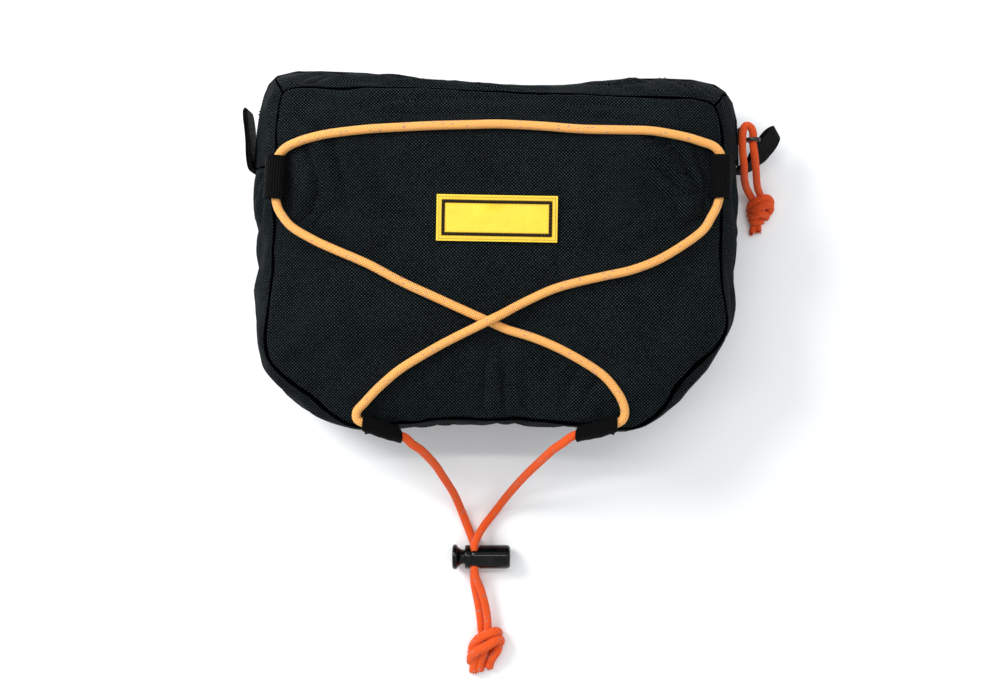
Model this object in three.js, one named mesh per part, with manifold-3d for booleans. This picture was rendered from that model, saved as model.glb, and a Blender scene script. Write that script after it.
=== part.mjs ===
// Handlebar bag: a stuffed woven-nylon pouch lying on its back, laced with elastic cord.
// Millimetres. The origin is the middle of the back panel's outer face.
// +X is to the right in a front view, +Y is towards the zip, +Z is out of the front.
import * as THREE from 'three';
import { mergeVertices } from 'three/addons/utils/BufferGeometryUtils.js';
import Module from 'manifold-3d';

const wasm = await Module();
wasm.setup();

// Driving dimensions of the bag
const BAG_WIDTH = 230;
const BAG_HEIGHT = 170;
const BAG_DEPTH = 62;
const SIDE_BULGE = 16;
const FRONT_CROWN = 9;
const CROWN_RUN = 18;
const WALL = 2;
const SEAM_GAP = 0.3;

// Zip
const ZIP_HEIGHT = 30;
const ZIP_WIDTH = 12;
const COIL_WIDTH = 5.6;
const COIL_RELIEF = 0.7;
const TAPE_SINK = 0.6;

// Webbing loops and tabs
const WEBBING = 1.1;
const LOOP_WIDTH = 21.5;
const LOOP_BORE = 2.9;
const LOOP_SPREAD = 4.4;
const LOWER_SPREAD = 3.3;
const LAYER_GAP = 0.4;
const TAB_WIDTH = 20;
const TAB_LOOP = 2.2;

// Patch
const PATCH_LENGTH = 59.5;
const PATCH_HEIGHT = 22.8;
const PATCH_THICKNESS = 1.3;
const PATCH_BORDER = 2.4;
const CHANNEL_WIDTH = 1.9;
const CHANNEL_DEPTH = 0.5;
const CHANNEL_SLOPE = 0.25;
const PATCH_TURN = THREE.MathUtils.degToRad(-1);
const PATCH_UP = 0.221;

// Cords
const CORD_DIAMETER = 4.4;
const PULL_DIAMETER = 4;

// Cord lock
const BARREL_LENGTH = 24.6;
const BARREL_RADIUS = 6.45;
const BARREL_WALL = 0.85;
const BORE_DEPTH = 20.5;
const BARREL_ROUND = 0.8;
const COLLAR_LENGTH = 2.2;
const COLLAR_GROOVE = 0.35;
const HEAD_RADIUS = 6.7;
const HEAD_THICKNESS = 3.6;
const PLUNGER_TRAVEL = 3;
const PLUNGER_NECK = 3.9;
const PLUNGER_END = 2;
const RUNNING_GAP = 0.2;
const CORD_HOLE_AT = 5.2;
const SLOT_HEIGHT = 9.4;
const LOCK_AT = { across: -0.1078, up: -1.8776, clear: 0.05 };

// Zip slider and puller
const SLIDER_LENGTH = 9;
const SLIDER_WIDTH = 7.6;
const SLIDER_THICKNESS = 3;
const PULLER_THICKNESS = 1.8;
const PULLER_RIM = 1.5;
const PULLER_REACH = 2.4;

// How finely the round pieces are divided: steps along a cord, and sides round it
const STEPS = { lacing: 112, tail: 20, arc: 14, strand: 9, turn: 6, bore: 8 };
const SIDES = { cord: 8, turn: 7, core: 11, barrel: 22, plunger: 20 };

// The front seam's outline, clockwise in a front view, from the left zip end.
// across and up are shares of half the width and half the height. out_x and out_y are the way
// that the gusset bulges there, as shares of the side bulge. steps is the run to the next row.
const OUTLINE = [
  { at: 'left zip end', across: -0.952, up: 0.559, out_x: -1.15, out_y: 0, steps: 4 },
  { at: 'left top corner', across: -0.946, up: 0.947, out_x: -0.85, out_y: 0.41, steps: 2 },
  { at: 'top, left end', across: -0.909, up: 0.995, out_x: -0.69, out_y: 0.81, steps: 3 },
  { at: 'top, left swell', across: -0.683, up: 0.993, out_x: 0, out_y: 0.94, steps: 3 },
  { at: 'top, left of middle', across: -0.391, up: 0.998, out_x: 0, out_y: 0.73, steps: 4 },
  { at: 'top, middle', across: 0.013, up: 0.971, out_x: 0, out_y: 0.65, steps: 3 },
  { at: 'top, right of middle', across: 0.304, up: 0.96, out_x: 0, out_y: 0.69, steps: 3 },
  { at: 'top, right swell', across: 0.622, up: 0.939, out_x: 0, out_y: 1.02, steps: 3 },
  { at: 'top, right end', across: 0.917, up: 0.927, out_x: 0.56, out_y: 0.88, steps: 2 },
  { at: 'right top corner', across: 0.958, up: 0.882, out_x: 0.83, out_y: 0.53, steps: 3 },
  { at: 'right zip end', across: 0.974, up: 0.6, out_x: 0.91, out_y: 0, steps: 3 },
  { at: 'right side, upper', across: 0.968, up: 0.235, out_x: 1, out_y: 0, steps: 3 },
  { at: 'right side, lower', across: 0.978, up: -0.141, out_x: 0.76, out_y: 0, steps: 3 },
  { at: 'right shoulder', across: 1, up: -0.406, out_x: 0.41, out_y: -0.19, steps: 4 },
  { at: 'right slant', across: 0.809, up: -0.698, out_x: 0.51, out_y: -0.46, steps: 4 },
  { at: 'right foot', across: 0.617, up: -0.988, out_x: 0.16, out_y: -0.25, steps: 4 },
  { at: 'bottom, right', across: 0.304, up: -0.959, out_x: 0, out_y: -0.34, steps: 3 },
  { at: 'bottom, middle', across: -0.009, up: -0.941, out_x: 0, out_y: -0.34, steps: 4 },
  { at: 'bottom, left', across: -0.348, up: -0.953, out_x: 0, out_y: -0.37, steps: 4 },
  { at: 'left foot', across: -0.639, up: -0.988, out_x: -0.19, out_y: -0.25, steps: 3 },
  { at: 'left slant', across: -0.82, up: -0.785, out_x: -0.54, out_y: -0.65, steps: 3 },
  { at: 'left shoulder', across: -1, up: -0.582, out_x: -0.56, out_y: -0.19, steps: 3 },
  { at: 'left side, lower', across: -0.983, up: -0.176, out_x: -0.91, out_y: 0, steps: 2 },
  { at: 'left side, dent', across: -0.968, up: 0.035, out_x: -0.87, out_y: 0, steps: 3 },
  { at: 'left side, upper', across: -0.961, up: 0.329, out_x: -1.08, out_y: 0, steps: 2 },
];

// Webbing loops on the front seam, a row for each end of the webbing.
const layers = LAYER_GAP / 2 + WEBBING;
const tall = LOOP_BORE + WEBBING;
const uprightEnd = (run, shift, out) => ({
  run, shift, out, foot_out: 0.2, foot_rise: 1.1, rise: tall + 1.9, spread: LOOP_SPREAD,
});
const LOWER_RISE = { outer: tall + 2.3, mid: tall + 0.3, turn: tall / 2 + 0.4, inner: -0.2 };
const LOOPS = {
  cord_loop_upper_left: [uprightEnd(24.6, -LOOP_WIDTH / 2, -0.2), uprightEnd(24.6, LOOP_WIDTH / 2, -0.2)],
  cord_loop_upper_right: [uprightEnd(10.37, -LOOP_WIDTH / 2, -1.2), uprightEnd(10.37, LOOP_WIDTH / 2, -1.2)],
  cord_loop_lower_left: [
    { run: 18.78, foot_out: 2.5, foot_rise: -1, out: -2.9, shift: -0.8, rise: LOWER_RISE.outer, spread: LOWER_SPREAD },
    { run: 18.5, foot_out: 1.9, foot_rise: -1, out: 1.5, shift: 0, rise: LOWER_RISE.mid, spread: LOWER_SPREAD },
    { run: 18.35, foot_out: 1.1, foot_rise: -1, out: 4.1, shift: 1.35, rise: LOWER_RISE.turn, spread: LOWER_SPREAD },
    { run: 18.2, foot_out: 0.5, foot_rise: -1, out: 6.7, shift: 2.7, rise: LOWER_RISE.inner, spread: LOWER_SPREAD },
  ],
  cord_loop_lower_right: [
    { run: 15.33, foot_out: 2.5, foot_rise: -1, out: -2.8, shift: 1.2, rise: LOWER_RISE.outer, spread: LOWER_SPREAD },
    { run: 15.58, foot_out: 1.9, foot_rise: -1, out: 1.6, shift: 0.3, rise: LOWER_RISE.mid, spread: LOWER_SPREAD },
    { run: 15.73, foot_out: 1.1, foot_rise: -1, out: 3.9, shift: -0.6, rise: LOWER_RISE.turn, spread: LOWER_SPREAD },
    { run: 15.87, foot_out: 0.5, foot_rise: -1, out: 6.1, shift: -1.5, rise: LOWER_RISE.inner, spread: LOWER_SPREAD },
  ],
};

// How much of the bulge each level of the gusset has, from the back seam to the front seam.
const DEPTH_SECTIONS = [
  { height: 0, bulge: 0.3 },
  { height: 0.12, bulge: 0.66 },
  { height: 0.27, bulge: 0.92 },
  { height: 0.45, bulge: 1 },
  { height: 0.65, bulge: 0.9 },
  { height: 0.82, bulge: 0.6 },
  { height: 0.93, bulge: 0.26 },
  { height: 1, bulge: -0.06 },
];

// Rings of the front panel, as shares of the way from the seam to the middle.
const FRONT_RINGS = [0, 0.035, 0.09, 0.18, 0.32, 0.55, 0.85];

// Shallow folds in the front. across and up place the middle, length and width are shares of
// half the width, turn is the fold's direction and depth is a share of the crown.
const FRONT_FOLDS = [
  { across: 0.02, up: -0.78, turn: 90, length: 0.2, width: 0.06, depth: 0.16 },
  { across: 0.33, up: -0.72, turn: 74, length: 0.2, width: 0.06, depth: 0.12 },
  { across: 0.72, up: 0.52, turn: 40, length: 0.3, width: 0.09, depth: 0.16 },
  { across: 0.72, up: 0.12, turn: -48, length: 0.24, width: 0.08, depth: 0.14 },
  { across: -0.74, up: 0.1, turn: 50, length: 0.26, width: 0.08, depth: 0.14 },
];

// Routes of the elastic cord, chosen by hand: [across, up, level], with across and up as shares
// of half the width and half the height. The level is 0 on the floor, 1 at the cord lock's top
// and 2 at the front seam, and goes on above that by the lock's height.
const LACING = [
  [-0.4974, -1.0035, 2.321], [-0.5348, -0.9847, 2.396], [-0.5765, -0.9635, 2.478],
  [-0.6017, -0.9412, 2.515], [-0.6, -0.8941, 2.56], [-0.567, -0.8447, 2.627], [-0.5417, -0.8071, 2.657],
  [-0.4939, -0.7424, 2.709], [-0.4052, -0.6435, 2.784], [-0.2557, -0.5224, 2.813],
  [-0.1574, -0.4529, 2.851], [-0.093, -0.4106, 3.037], [-0.0339, -0.3706, 3.187],
  [0.0261, -0.3306, 3.045], [0.0983, -0.2776, 2.881], [0.2304, -0.1941, 2.858],
  [0.3452, -0.1482, 2.858], [0.4609, -0.1129, 2.843], [0.5765, -0.0776, 2.806], [0.693, -0.0165, 2.724],
  [0.807, 0.0753, 2.575], [0.8861, 0.1576, 2.485], [0.9235, 0.2353, 2.433], [0.9461, 0.2941, 2.425],
  [0.9583, 0.3588, 2.425], [0.9626, 0.4682, 2.425], [0.9643, 0.5588, 2.425], [0.96, 0.6047, 2.433],
  [0.9322, 0.6447, 2.463], [0.8835, 0.6682, 2.515], [0.8017, 0.6976, 2.612], [0.6678, 0.7271, 2.709],
  [0.5391, 0.7341, 2.687], [0.3643, 0.74, 2.657], [0.1887, 0.7588, 2.619], [0.013, 0.7706, 2.604],
  [-0.1113, 0.7671, 2.619], [-0.2565, 0.7612, 2.657], [-0.4061, 0.7506, 2.694],
  [-0.5513, 0.7376, 2.739], [-0.7009, 0.7141, 2.754], [-0.787, 0.6929, 2.687], [-0.8539, 0.6682, 2.582],
  [-0.9043, 0.6388, 2.493], [-0.9348, 0.6, 2.44], [-0.947, 0.5565, 2.425], [-0.9504, 0.4682, 2.425],
  [-0.953, 0.3706, 2.425], [-0.9496, 0.3176, 2.425], [-0.9313, 0.2565, 2.44], [-0.8817, 0.1753, 2.5],
  [-0.7904, 0.1012, 2.59], [-0.7017, 0.0447, 2.687], [-0.5504, -0.0435, 2.813],
  [-0.4043, -0.1482, 2.851], [-0.2557, -0.24, 2.858], [-0.1104, -0.3294, 2.836],
  [-0.0339, -0.3753, 2.813], [0.0426, -0.4212, 2.799], [0.1583, -0.4706, 2.813],
  [0.2687, -0.5341, 2.806], [0.3843, -0.6212, 2.776], [0.4617, -0.6965, 2.731],
  [0.5148, -0.7835, 2.672], [0.5391, -0.8447, 2.619], [0.5487, -0.8965, 2.567],
  [0.5409, -0.9435, 2.515], [0.5113, -0.9706, 2.463], [0.473, -0.9894, 2.396], [0.4348, -1.0059, 2.321],
];
const TAIL_LEFT = [
  [-0.4948, -1.0059, 2.313], [-0.4574, -1.0271, 2.201], [-0.4217, -1.0447, 1.996],
  [-0.3957, -1.0635, 1.955], [-0.373, -1.1, 1.887], [-0.3365, -1.1412, 1.784], [-0.3043, -1.1965, 1.65],
  [-0.2765, -1.2541, 1.496], [-0.253, -1.32, 1.331], [-0.2287, -1.3882, 1.167],
  [-0.2035, -1.4624, 1.002], [-0.1817, -1.5435, 0.522], [-0.1635, -1.6141, 0.254],
  [-0.1452, -1.6812, 0.179], [-0.1252, -1.7482, 0.224], [-0.1104, -1.8071, 0.313],
  [-0.1078, -1.8776, 0.328], [-0.1087, -1.9529, 0.321], [-0.1113, -2.0224, 0.254],
  [-0.107, -2.0824, 0.194], [-0.0896, -2.2, 0.179], [-0.0783, -2.3082, 0.194],
  [-0.0765, -2.3529, 0.216],
];
const TAIL_RIGHT = [
  [0.4322, -1.0071, 2.291], [0.3913, -1.0235, 2.164], [0.3513, -1.0365, 1.996], [0.32, -1.0576, 1.955],
  [0.2852, -1.0965, 1.897], [0.2513, -1.1329, 1.815], [0.22, -1.1788, 1.702], [0.1887, -1.2282, 1.568],
  [0.1496, -1.2906, 1.403], [0.1104, -1.3576, 1.239], [0.0783, -1.4176, 1.095],
  [0.0461, -1.4788, 0.858], [0.013, -1.5447, 0.485], [-0.02, -1.6071, 0.299], [-0.0539, -1.6647, 0.321],
  [-0.0817, -1.7188, 0.47], [-0.1, -1.7624, 0.619], [-0.1087, -1.8047, 0.672],
  [-0.1078, -1.8776, 0.679], [-0.1078, -1.96, 0.679], [-0.0983, -2.0176, 0.642],
  [-0.0791, -2.0824, 0.567], [-0.0635, -2.1553, 0.507], [-0.0513, -2.2329, 0.47],
  [-0.0461, -2.2976, 0.478], [-0.0452, -2.3529, 0.493],
];
// Routes of the pull cord, in millimetres: x and y from the slider's middle, z from the floor.
const PULL_ARC = [
  [6.43, -2.88, 36.8], [6.53, -0.08, 37.4], [5.33, 2.92, 38.3], [2.73, 4.22, 39], [0.93, 1.82, 39.3],
  [0.63, -2.88, 38.9], [0.83, -7.88, 37.7], [1.53, -12.38, 36.4], [2.13, -15.58, 35.2],
  [3.03, -18.78, 31.5], [4.73, -21.98, 24], [7.13, -24.78, 16.5], [9.73, -27.18, 10.5],
  [12.13, -29.38, 6.6], [13.53, -31.18, 5.6],
];
const PULL_SHORT = [
  [6.43, -3.28, 36.8], [6.73, -6.38, 36.6], [7.53, -9.88, 35.6], [8.53, -13.38, 33], [9.53, -16.88, 30],
  [10.83, -20.18, 25.2], [12.43, -23.18, 19], [14.13, -25.38, 13.4], [15.93, -27.38, 9.6],
  [17.13, -29.98, 7.8],
];

// Knots, in their own frames: a core with the turns of cord on it and the cut ends.
// beyond is from the middle of the strands' ends to the knot's middle, on the floor.
const BUNGEE_KNOT = {
  beyond: [0.3, -10.2, 0],
  core: { size: [7.2, 10.5, 5.2], at: [0, 0, 5.6] },
  turns: [
    [[-7.2, -3.5, 4.6], [-5.5, -0.5, 9.4], [0, 3.2, 11], [5.5, 6.2, 8.6], [7.6, 7.3, 4.6]],
    [[-7.4, -9.5, 4.4], [-5, -6.8, 8.8], [0.5, -3.5, 10.4], [6.2, 0, 8.2], [8, 1.3, 4.4]],
    [[-2, -5, 4.5], [-4, -10.5, 3.4], [-4.8, -13.6, 2.7]],
    [[2.5, -5, 4.5], [2.2, -9.5, 3.2], [2.8, -12.5, 2.6]],
  ],
};
const PULL_KNOT = {
  beyond: [2.1, -6.7, 0],
  core: { size: [6.2, 7, 4.9], at: [0, 0.5, 5.2] },
  turns: [
    [[-5.8, 1, 4.4], [-3.5, 3.8, 8.6], [1.5, 4.6, 9.4], [5.2, 3, 7.2], [6.2, 0.2, 3.8]],
    [[-5.6, -4, 3.8], [-3, -3.6, 8], [1.5, -3.4, 8.4], [4.4, -3.2, 5.2]],
    [[-2, -5, 4], [-2.6, -8.5, 3], [-2.4, -11.2, 2.3]],
  ],
};

const halfWidth = BAG_WIDTH / 2;
const halfHeight = BAG_HEIGHT / 2;
const gussetLow = WALL + SEAM_GAP;
const gussetHigh = BAG_DEPTH - WALL - SEAM_GAP;
const zipStart = 0;
const zipEnd = OUTLINE.findIndex((row) => row.at === 'right zip end');
const up = new THREE.Vector3(0, 0, 1);
const lockTop = HEAD_RADIUS * 2;

// A cord's point in millimetres from its shares and its level.
function onBag([across, upward, level]) {
  let height = level * lockTop;
  if (level > 1) height = lockTop + (level - 1) * (BAG_DEPTH - lockTop);
  if (level > 2) height = BAG_DEPTH + (level - 2) * lockTop;
  return [across * halfWidth, upward * halfHeight, height];
}

// Geometry helpers

function newellNormal(ring) {
  const normal = new THREE.Vector3();
  ring.forEach((point, i) => {
    normal.add(new THREE.Vector3().crossVectors(point, ring[(i + 1) % ring.length]));
  });
  return normal.normalize();
}

function capTriangles(ring) {
  const normal = newellNormal(ring);
  const side = new THREE.Vector3(1, 0, 0);
  if (Math.abs(normal.x) > 0.7) side.set(0, 1, 0);
  const axisU = side.cross(normal).normalize();
  const axisV = new THREE.Vector3().crossVectors(normal, axisU);
  const flat = ring.map((point) => new THREE.Vector2(point.dot(axisU), point.dot(axisV)));
  return THREE.ShapeUtils.triangulateShape(flat, []).map(([a, b, c]) => {
    const turn = flat[b].clone().sub(flat[a]).cross(flat[c].clone().sub(flat[a]));
    return turn < 0 ? [a, c, b] : [a, b, c];
  });
}

function solidFrom(points, triangles) {
  let volume = 0;
  for (const [a, b, c] of triangles) {
    volume += points[a].dot(new THREE.Vector3().crossVectors(points[b], points[c]));
  }
  const facing = volume < 0 ? triangles.map(([a, b, c]) => [a, c, b]) : triangles;
  const geometry = new THREE.BufferGeometry().setFromPoints(points);
  geometry.setIndex(facing.flat());
  return geometry;
}

// Joins closed sections of equal length into one closed body, capped or running round.
function loft(sections, runsRound = false) {
  const count = sections[0].length;
  const points = sections.flat();
  const triangles = [];
  const spans = runsRound ? sections.length : sections.length - 1;
  for (let j = 0; j < spans; j += 1) {
    const here = j * count;
    const next = ((j + 1) % sections.length) * count;
    for (let i = 0; i < count; i += 1) {
      const k = (i + 1) % count;
      triangles.push([here + i, here + k, next + k], [here + i, next + k, next + i]);
    }
  }
  if (!runsRound) {
    const last = (sections.length - 1) * count;
    capTriangles(sections[0]).forEach(([a, b, c]) => triangles.push([a, c, b]));
    capTriangles(sections.at(-1)).forEach(([a, b, c]) => triangles.push([last + a, last + b, last + c]));
  }
  return solidFrom(points, triangles);
}

function toManifold(geometry) {
  const bare = geometry.clone();
  bare.deleteAttribute('normal');
  bare.deleteAttribute('uv');
  const merged = mergeVertices(bare, 1e-4);
  return new wasm.Manifold(new wasm.Mesh({
    numProp: 3,
    vertProperties: new Float32Array(merged.attributes.position.array),
    triVerts: new Uint32Array(merged.index.array),
  }));
}

function fromManifold(solid) {
  const mesh = solid.getMesh();
  const geometry = new THREE.BufferGeometry();
  geometry.setAttribute('position', new THREE.BufferAttribute(mesh.vertProperties, 3));
  geometry.setIndex(new THREE.BufferAttribute(mesh.triVerts, 1));
  return geometry;
}

function joined(...geometries) {
  return fromManifold(geometries.map(toManifold).reduce((whole, piece) => whole.add(piece)));
}

function cut(geometry, ...tools) {
  return fromManifold(tools.map(toManifold).reduce((whole, tool) => whole.subtract(tool), toManifold(geometry)));
}

// A closed tube of one diameter along a smooth curve through the points.
function tube(points, diameter, steps, sides) {
  const path = new THREE.CatmullRomCurve3(points.map((point) => new THREE.Vector3(...point)));
  const section = new THREE.Shape();
  for (let i = 0; i < sides; i += 1) {
    const angle = (i + 0.5) * 2 * Math.PI / sides;
    const x = Math.cos(angle) * diameter / 2;
    const y = Math.sin(angle) * diameter / 2;
    if (i === 0) section.moveTo(x, y);
    else section.lineTo(x, y);
  }
  section.closePath();
  return new THREE.ExtrudeGeometry(section, { steps, extrudePath: path, bevelEnabled: false });
}

// Shape of the bag

const bulgeAt = (height) => {
  const rows = DEPTH_SECTIONS;
  const j = Math.min(rows.findIndex((row) => row.height >= height) || 1, rows.length - 1);
  const before = rows[Math.max(j, 1) - 1];
  const after = rows[Math.max(j, 1)];
  const share = (height - before.height) / (after.height - before.height);
  return THREE.MathUtils.lerp(before.bulge, after.bulge, share);
};

const outlineCurves = new Map();

function outlineCurve(bulge) {
  const key = bulge.toFixed(4);
  if (!outlineCurves.has(key)) {
    const corners = OUTLINE.map((row) => new THREE.Vector3(
      row.across * halfWidth + row.out_x * SIDE_BULGE * bulge,
      row.up * halfHeight + row.out_y * SIDE_BULGE * bulge,
      0,
    ));
    outlineCurves.set(key, new THREE.CatmullRomCurve3(corners, true));
  }
  return outlineCurves.get(key);
}

// A point on the gusset's outer face. run counts the outline's rows, height is the share of
// the gusset's depth, and proud moves the point out of the face.
function sidePoint(run, height, proud = 0) {
  const curve = outlineCurve(bulgeAt(height));
  const t = (run / OUTLINE.length + 1) % 1;
  const tangent = curve.getTangent(t);
  const point = curve.getPoint(t);
  point.x += -tangent.y * proud;
  point.y += tangent.x * proud;
  point.z = THREE.MathUtils.lerp(gussetLow, gussetHigh, height);
  return point;
}

function runsBetween(first, last) {
  const runs = [];
  for (let row = first; row < last; row += 1) {
    const { steps } = OUTLINE[row % OUTLINE.length];
    for (let step = 0; step < steps; step += 1) runs.push(row + step / steps);
  }
  runs.push(last);
  return runs;
}

// The same runs with a small gap left at both ends, for a band that stops at a seam.
function trimmedRuns(first, last) {
  const runs = runsBetween(first, last);
  const shareOfGap = (from, to) => {
    const length = sidePoint(from, 0.5).distanceTo(sidePoint(to, 0.5));
    return (to - from) * (SEAM_GAP / 2) / length;
  };
  runs[0] += shareOfGap(runs[0], runs[1]);
  runs[runs.length - 1] -= shareOfGap(runs.at(-2), runs.at(-1));
  return runs;
}

const heightShare = (z) => (z - gussetLow) / (gussetHigh - gussetLow);
const levelsBetween = (low, high) => [
  low,
  ...DEPTH_SECTIONS.map((row) => row.height).filter((height) => height > low + 0.03 && height < high - 0.03),
  high,
];

function fabricBand(runs, low, high) {
  const levels = levelsBetween(low, high);
  return loft(runs.map((run) => [
    ...levels.map((level) => sidePoint(run, level)),
    ...levels.toReversed().map((level) => sidePoint(run, level, -WALL)),
  ]));
}

// How far the front stands above its seam at a point of the front panel.
function crownAt(x, y) {
  const reach = Math.hypot(x, y);
  const rim = rimDistance(Math.atan2(y, x));
  const inward = Math.max(rim - reach, 0);
  let lift = FRONT_CROWN * (1 - Math.exp(-inward / CROWN_RUN));
  for (const fold of FRONT_FOLDS) {
    const turn = THREE.MathUtils.degToRad(fold.turn);
    const dx = x - fold.across * halfWidth;
    const dy = y - fold.up * halfHeight;
    const along = (dx * Math.cos(turn) + dy * Math.sin(turn)) / (fold.length * halfWidth);
    const aside = (dy * Math.cos(turn) - dx * Math.sin(turn)) / (fold.width * halfWidth);
    lift -= fold.depth * FRONT_CROWN * Math.exp(-along * along - aside * aside);
  }
  return Math.max(lift, 0);
}

function seamPoint(run) {
  const t = (run / OUTLINE.length + 1) % 1;
  const along = outlineCurve(0).getTangent(t);
  return { at: outlineCurve(0).getPoint(t), along, out: new THREE.Vector3(-along.y, along.x, 0) };
}

const seamRing = runsBetween(0, OUTLINE.length).slice(0, -1).map((run) => {
  const point = outlineCurve(0).getPoint(run / OUTLINE.length);
  return point;
});

function rimDistance(angle) {
  const direction = new THREE.Vector2(Math.cos(angle), Math.sin(angle));
  let reach = halfWidth;
  seamRing.forEach((a, i) => {
    const b = seamRing[(i + 1) % seamRing.length];
    const edge = new THREE.Vector2(b.x - a.x, b.y - a.y);
    const cross = direction.cross(edge);
    const distance = (a.x * edge.y - a.y * edge.x) / cross;
    const share = (a.x * direction.y - a.y * direction.x) / cross;
    if (distance > 0 && share >= 0 && share < 1) reach = distance;
  });
  return reach;
}

const frontZ = (x, y) => BAG_DEPTH + crownAt(x, y);

function frontPanel() {
  const ringAt = (share, drop) => seamRing.map((point) => {
    const x = point.x * (1 - share);
    const y = point.y * (1 - share);
    return new THREE.Vector3(x, y, frontZ(x, y) - drop);
  });
  const inner = FRONT_RINGS.toReversed().map((share) => ringAt(share, WALL));
  const outer = FRONT_RINGS.map((share) => ringAt(share, 0));
  return loft([...inner, ...outer]);
}

function backPanel() {
  const edge = runsBetween(0, OUTLINE.length).slice(0, -1).map((run) => sidePoint(run, 0));
  const ringAt = (z) => edge.map((point) => new THREE.Vector3(point.x, point.y, z));
  return loft([ringAt(0), ringAt(WALL)]);
}

// Zip: tape with a raised coil down its middle
const zipLow = heightShare(ZIP_HEIGHT - ZIP_WIDTH / 2);
const zipHigh = heightShare(ZIP_HEIGHT + ZIP_WIDTH / 2);
const gapShare = SEAM_GAP / (gussetHigh - gussetLow);

function zip() {
  const coilLow = heightShare(ZIP_HEIGHT - COIL_WIDTH / 2);
  const coilHigh = heightShare(ZIP_HEIGHT + COIL_WIDTH / 2);
  const face = [
    { height: zipLow, proud: -TAPE_SINK },
    { height: coilLow - gapShare, proud: -TAPE_SINK },
    { height: coilLow, proud: COIL_RELIEF },
    { height: coilHigh, proud: COIL_RELIEF },
    { height: coilHigh + gapShare, proud: -TAPE_SINK },
    { height: zipHigh, proud: -TAPE_SINK },
    { height: zipHigh, proud: -WALL },
    { height: zipLow, proud: -WALL },
  ];
  return loft(trimmedRuns(zipStart, zipEnd).map((run) => face.map((row) => sidePoint(run, row.height, row.proud))));
}

// Webbing loop: two layers from the seam, round a tunnel that the cord runs through.
// Each station across the webbing has its foot at the seam and its tunnel's centre.
const ARC_STEPS = 10;

function webbingLoop(stations, tunnelAxis) {
  return loft(stations.map(({ foot, centre, spread }) => {
    const along = centre.clone().sub(foot);
    const distance = along.length();
    along.normalize();
    const across = new THREE.Vector3().crossVectors(tunnelAxis, along).normalize();
    const at = (a, b) => foot.clone().addScaledVector(along, a).addScaledVector(across, b);
    const arc = (thickness) => {
      const edge = LAYER_GAP / 2 + thickness;
      const start = Math.PI - Math.asin(edge / (spread + thickness));
      return Array.from({ length: ARC_STEPS + 1 }, (_, i) => {
        const angle = start * (1 - 2 * i / ARC_STEPS);
        const a = distance + (LOOP_BORE + thickness) * Math.cos(angle);
        return at(a, (spread + thickness) * Math.sin(angle));
      });
    };
    const outside = [at(0, LAYER_GAP / 2 + WEBBING), ...arc(WEBBING), at(0, -LAYER_GAP / 2 - WEBBING)];
    const inside = [at(0, LAYER_GAP / 2), ...arc(0), at(0, -LAYER_GAP / 2)];
    return [...outside, ...inside.toReversed()];
  }));
}

// A loop's rows place it from the front seam: run is the place along the outline, foot_out and
// out move its foot and its tunnel out from the seam, shift moves the tunnel along it, and
// rise is the tunnel's height over the seam.
function seamLoop(rows) {
  const stations = rows.map((row) => {
    const seam = seamPoint(row.run);
    const shift = seam.along.clone().multiplyScalar(row.shift);
    const foot = seam.at.clone().addScaledVector(seam.out, row.foot_out).add(shift);
    foot.z = Math.max(BAG_DEPTH - WALL / 2, row.foot_rise + BAG_DEPTH);
    const centre = seam.at.clone().addScaledVector(seam.out, row.out).add(shift);
    centre.z = BAG_DEPTH + row.rise;
    return { foot, centre, spread: row.spread };
  });
  const axis = stations.at(-1).centre.clone().sub(stations[0].centre).normalize();
  return webbingLoop(stations, axis);
}

// Strap folded in two: out along the spine in one layer, round the fold and back in the other.
function foldedStrap(spine, turns, loopGap) {
  const curve = new THREE.CatmullRomCurve3(spine);
  const layer = (share, sign) => {
    const point = curve.getPoint(share);
    const along = curve.getTangent(share);
    const turn = THREE.MathUtils.degToRad(THREE.MathUtils.lerp(turns[0], turns[1], Math.min(share * 2, 1)));
    const wide = up.clone().applyAxisAngle(along, turn);
    const thick = new THREE.Vector3().crossVectors(along, wide).normalize();
    const open = THREE.MathUtils.lerp(LAYER_GAP, loopGap, share);
    const placed = point.addScaledVector(thick, sign * (WEBBING + open) / 2);
    return { point: placed, wide, thick: thick.multiplyScalar(sign), along };
  };
  const shares = [0, 0.2, 0.4, 0.6, 0.8, 0.94];
  const out = shares.map((share) => layer(share, 1));
  const back = shares.toReversed().map((share) => layer(share, -1));
  const from = out.at(-1);
  const folds = [30, 90, 150].map((angle) => {
    const radians = THREE.MathUtils.degToRad(angle);
    const radius = (WEBBING + loopGap) / 2;
    const centre = from.point.clone().addScaledVector(from.thick, -radius);
    const thick = from.thick.clone().multiplyScalar(Math.cos(radians)).addScaledVector(from.along, Math.sin(radians));
    return { point: centre.addScaledVector(thick, radius), wide: from.wide, thick };
  });
  return loft([...out, ...folds, ...back].map(({ point, wide, thick }) => [[1, 1], [-1, 1], [-1, -1], [1, -1]].map(
    ([w, t]) => point.clone().addScaledVector(wide, w * TAB_WIDTH / 2).addScaledVector(thick, t * WEBBING / 2),
  )));
}

function tab(run, z, shape, lean) {
  const clear = COIL_RELIEF + SEAM_GAP * 2;
  const base = sidePoint(run, heightShare(z), clear);
  const reach = [-0.5, -0.25, 0, 0.25, 0.5].map((share) => (
    Math.abs(sidePoint(run, heightShare(z + share * TAB_WIDTH), clear).x)
  ));
  base.x = Math.sign(base.x) * Math.max(...reach);
  base.z = z;
  const spine = shape.map(([dx, dy]) => base.clone().add(new THREE.Vector3(dx, dy, 0)));
  return foldedStrap(spine, lean, TAB_LOOP);
}

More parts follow.
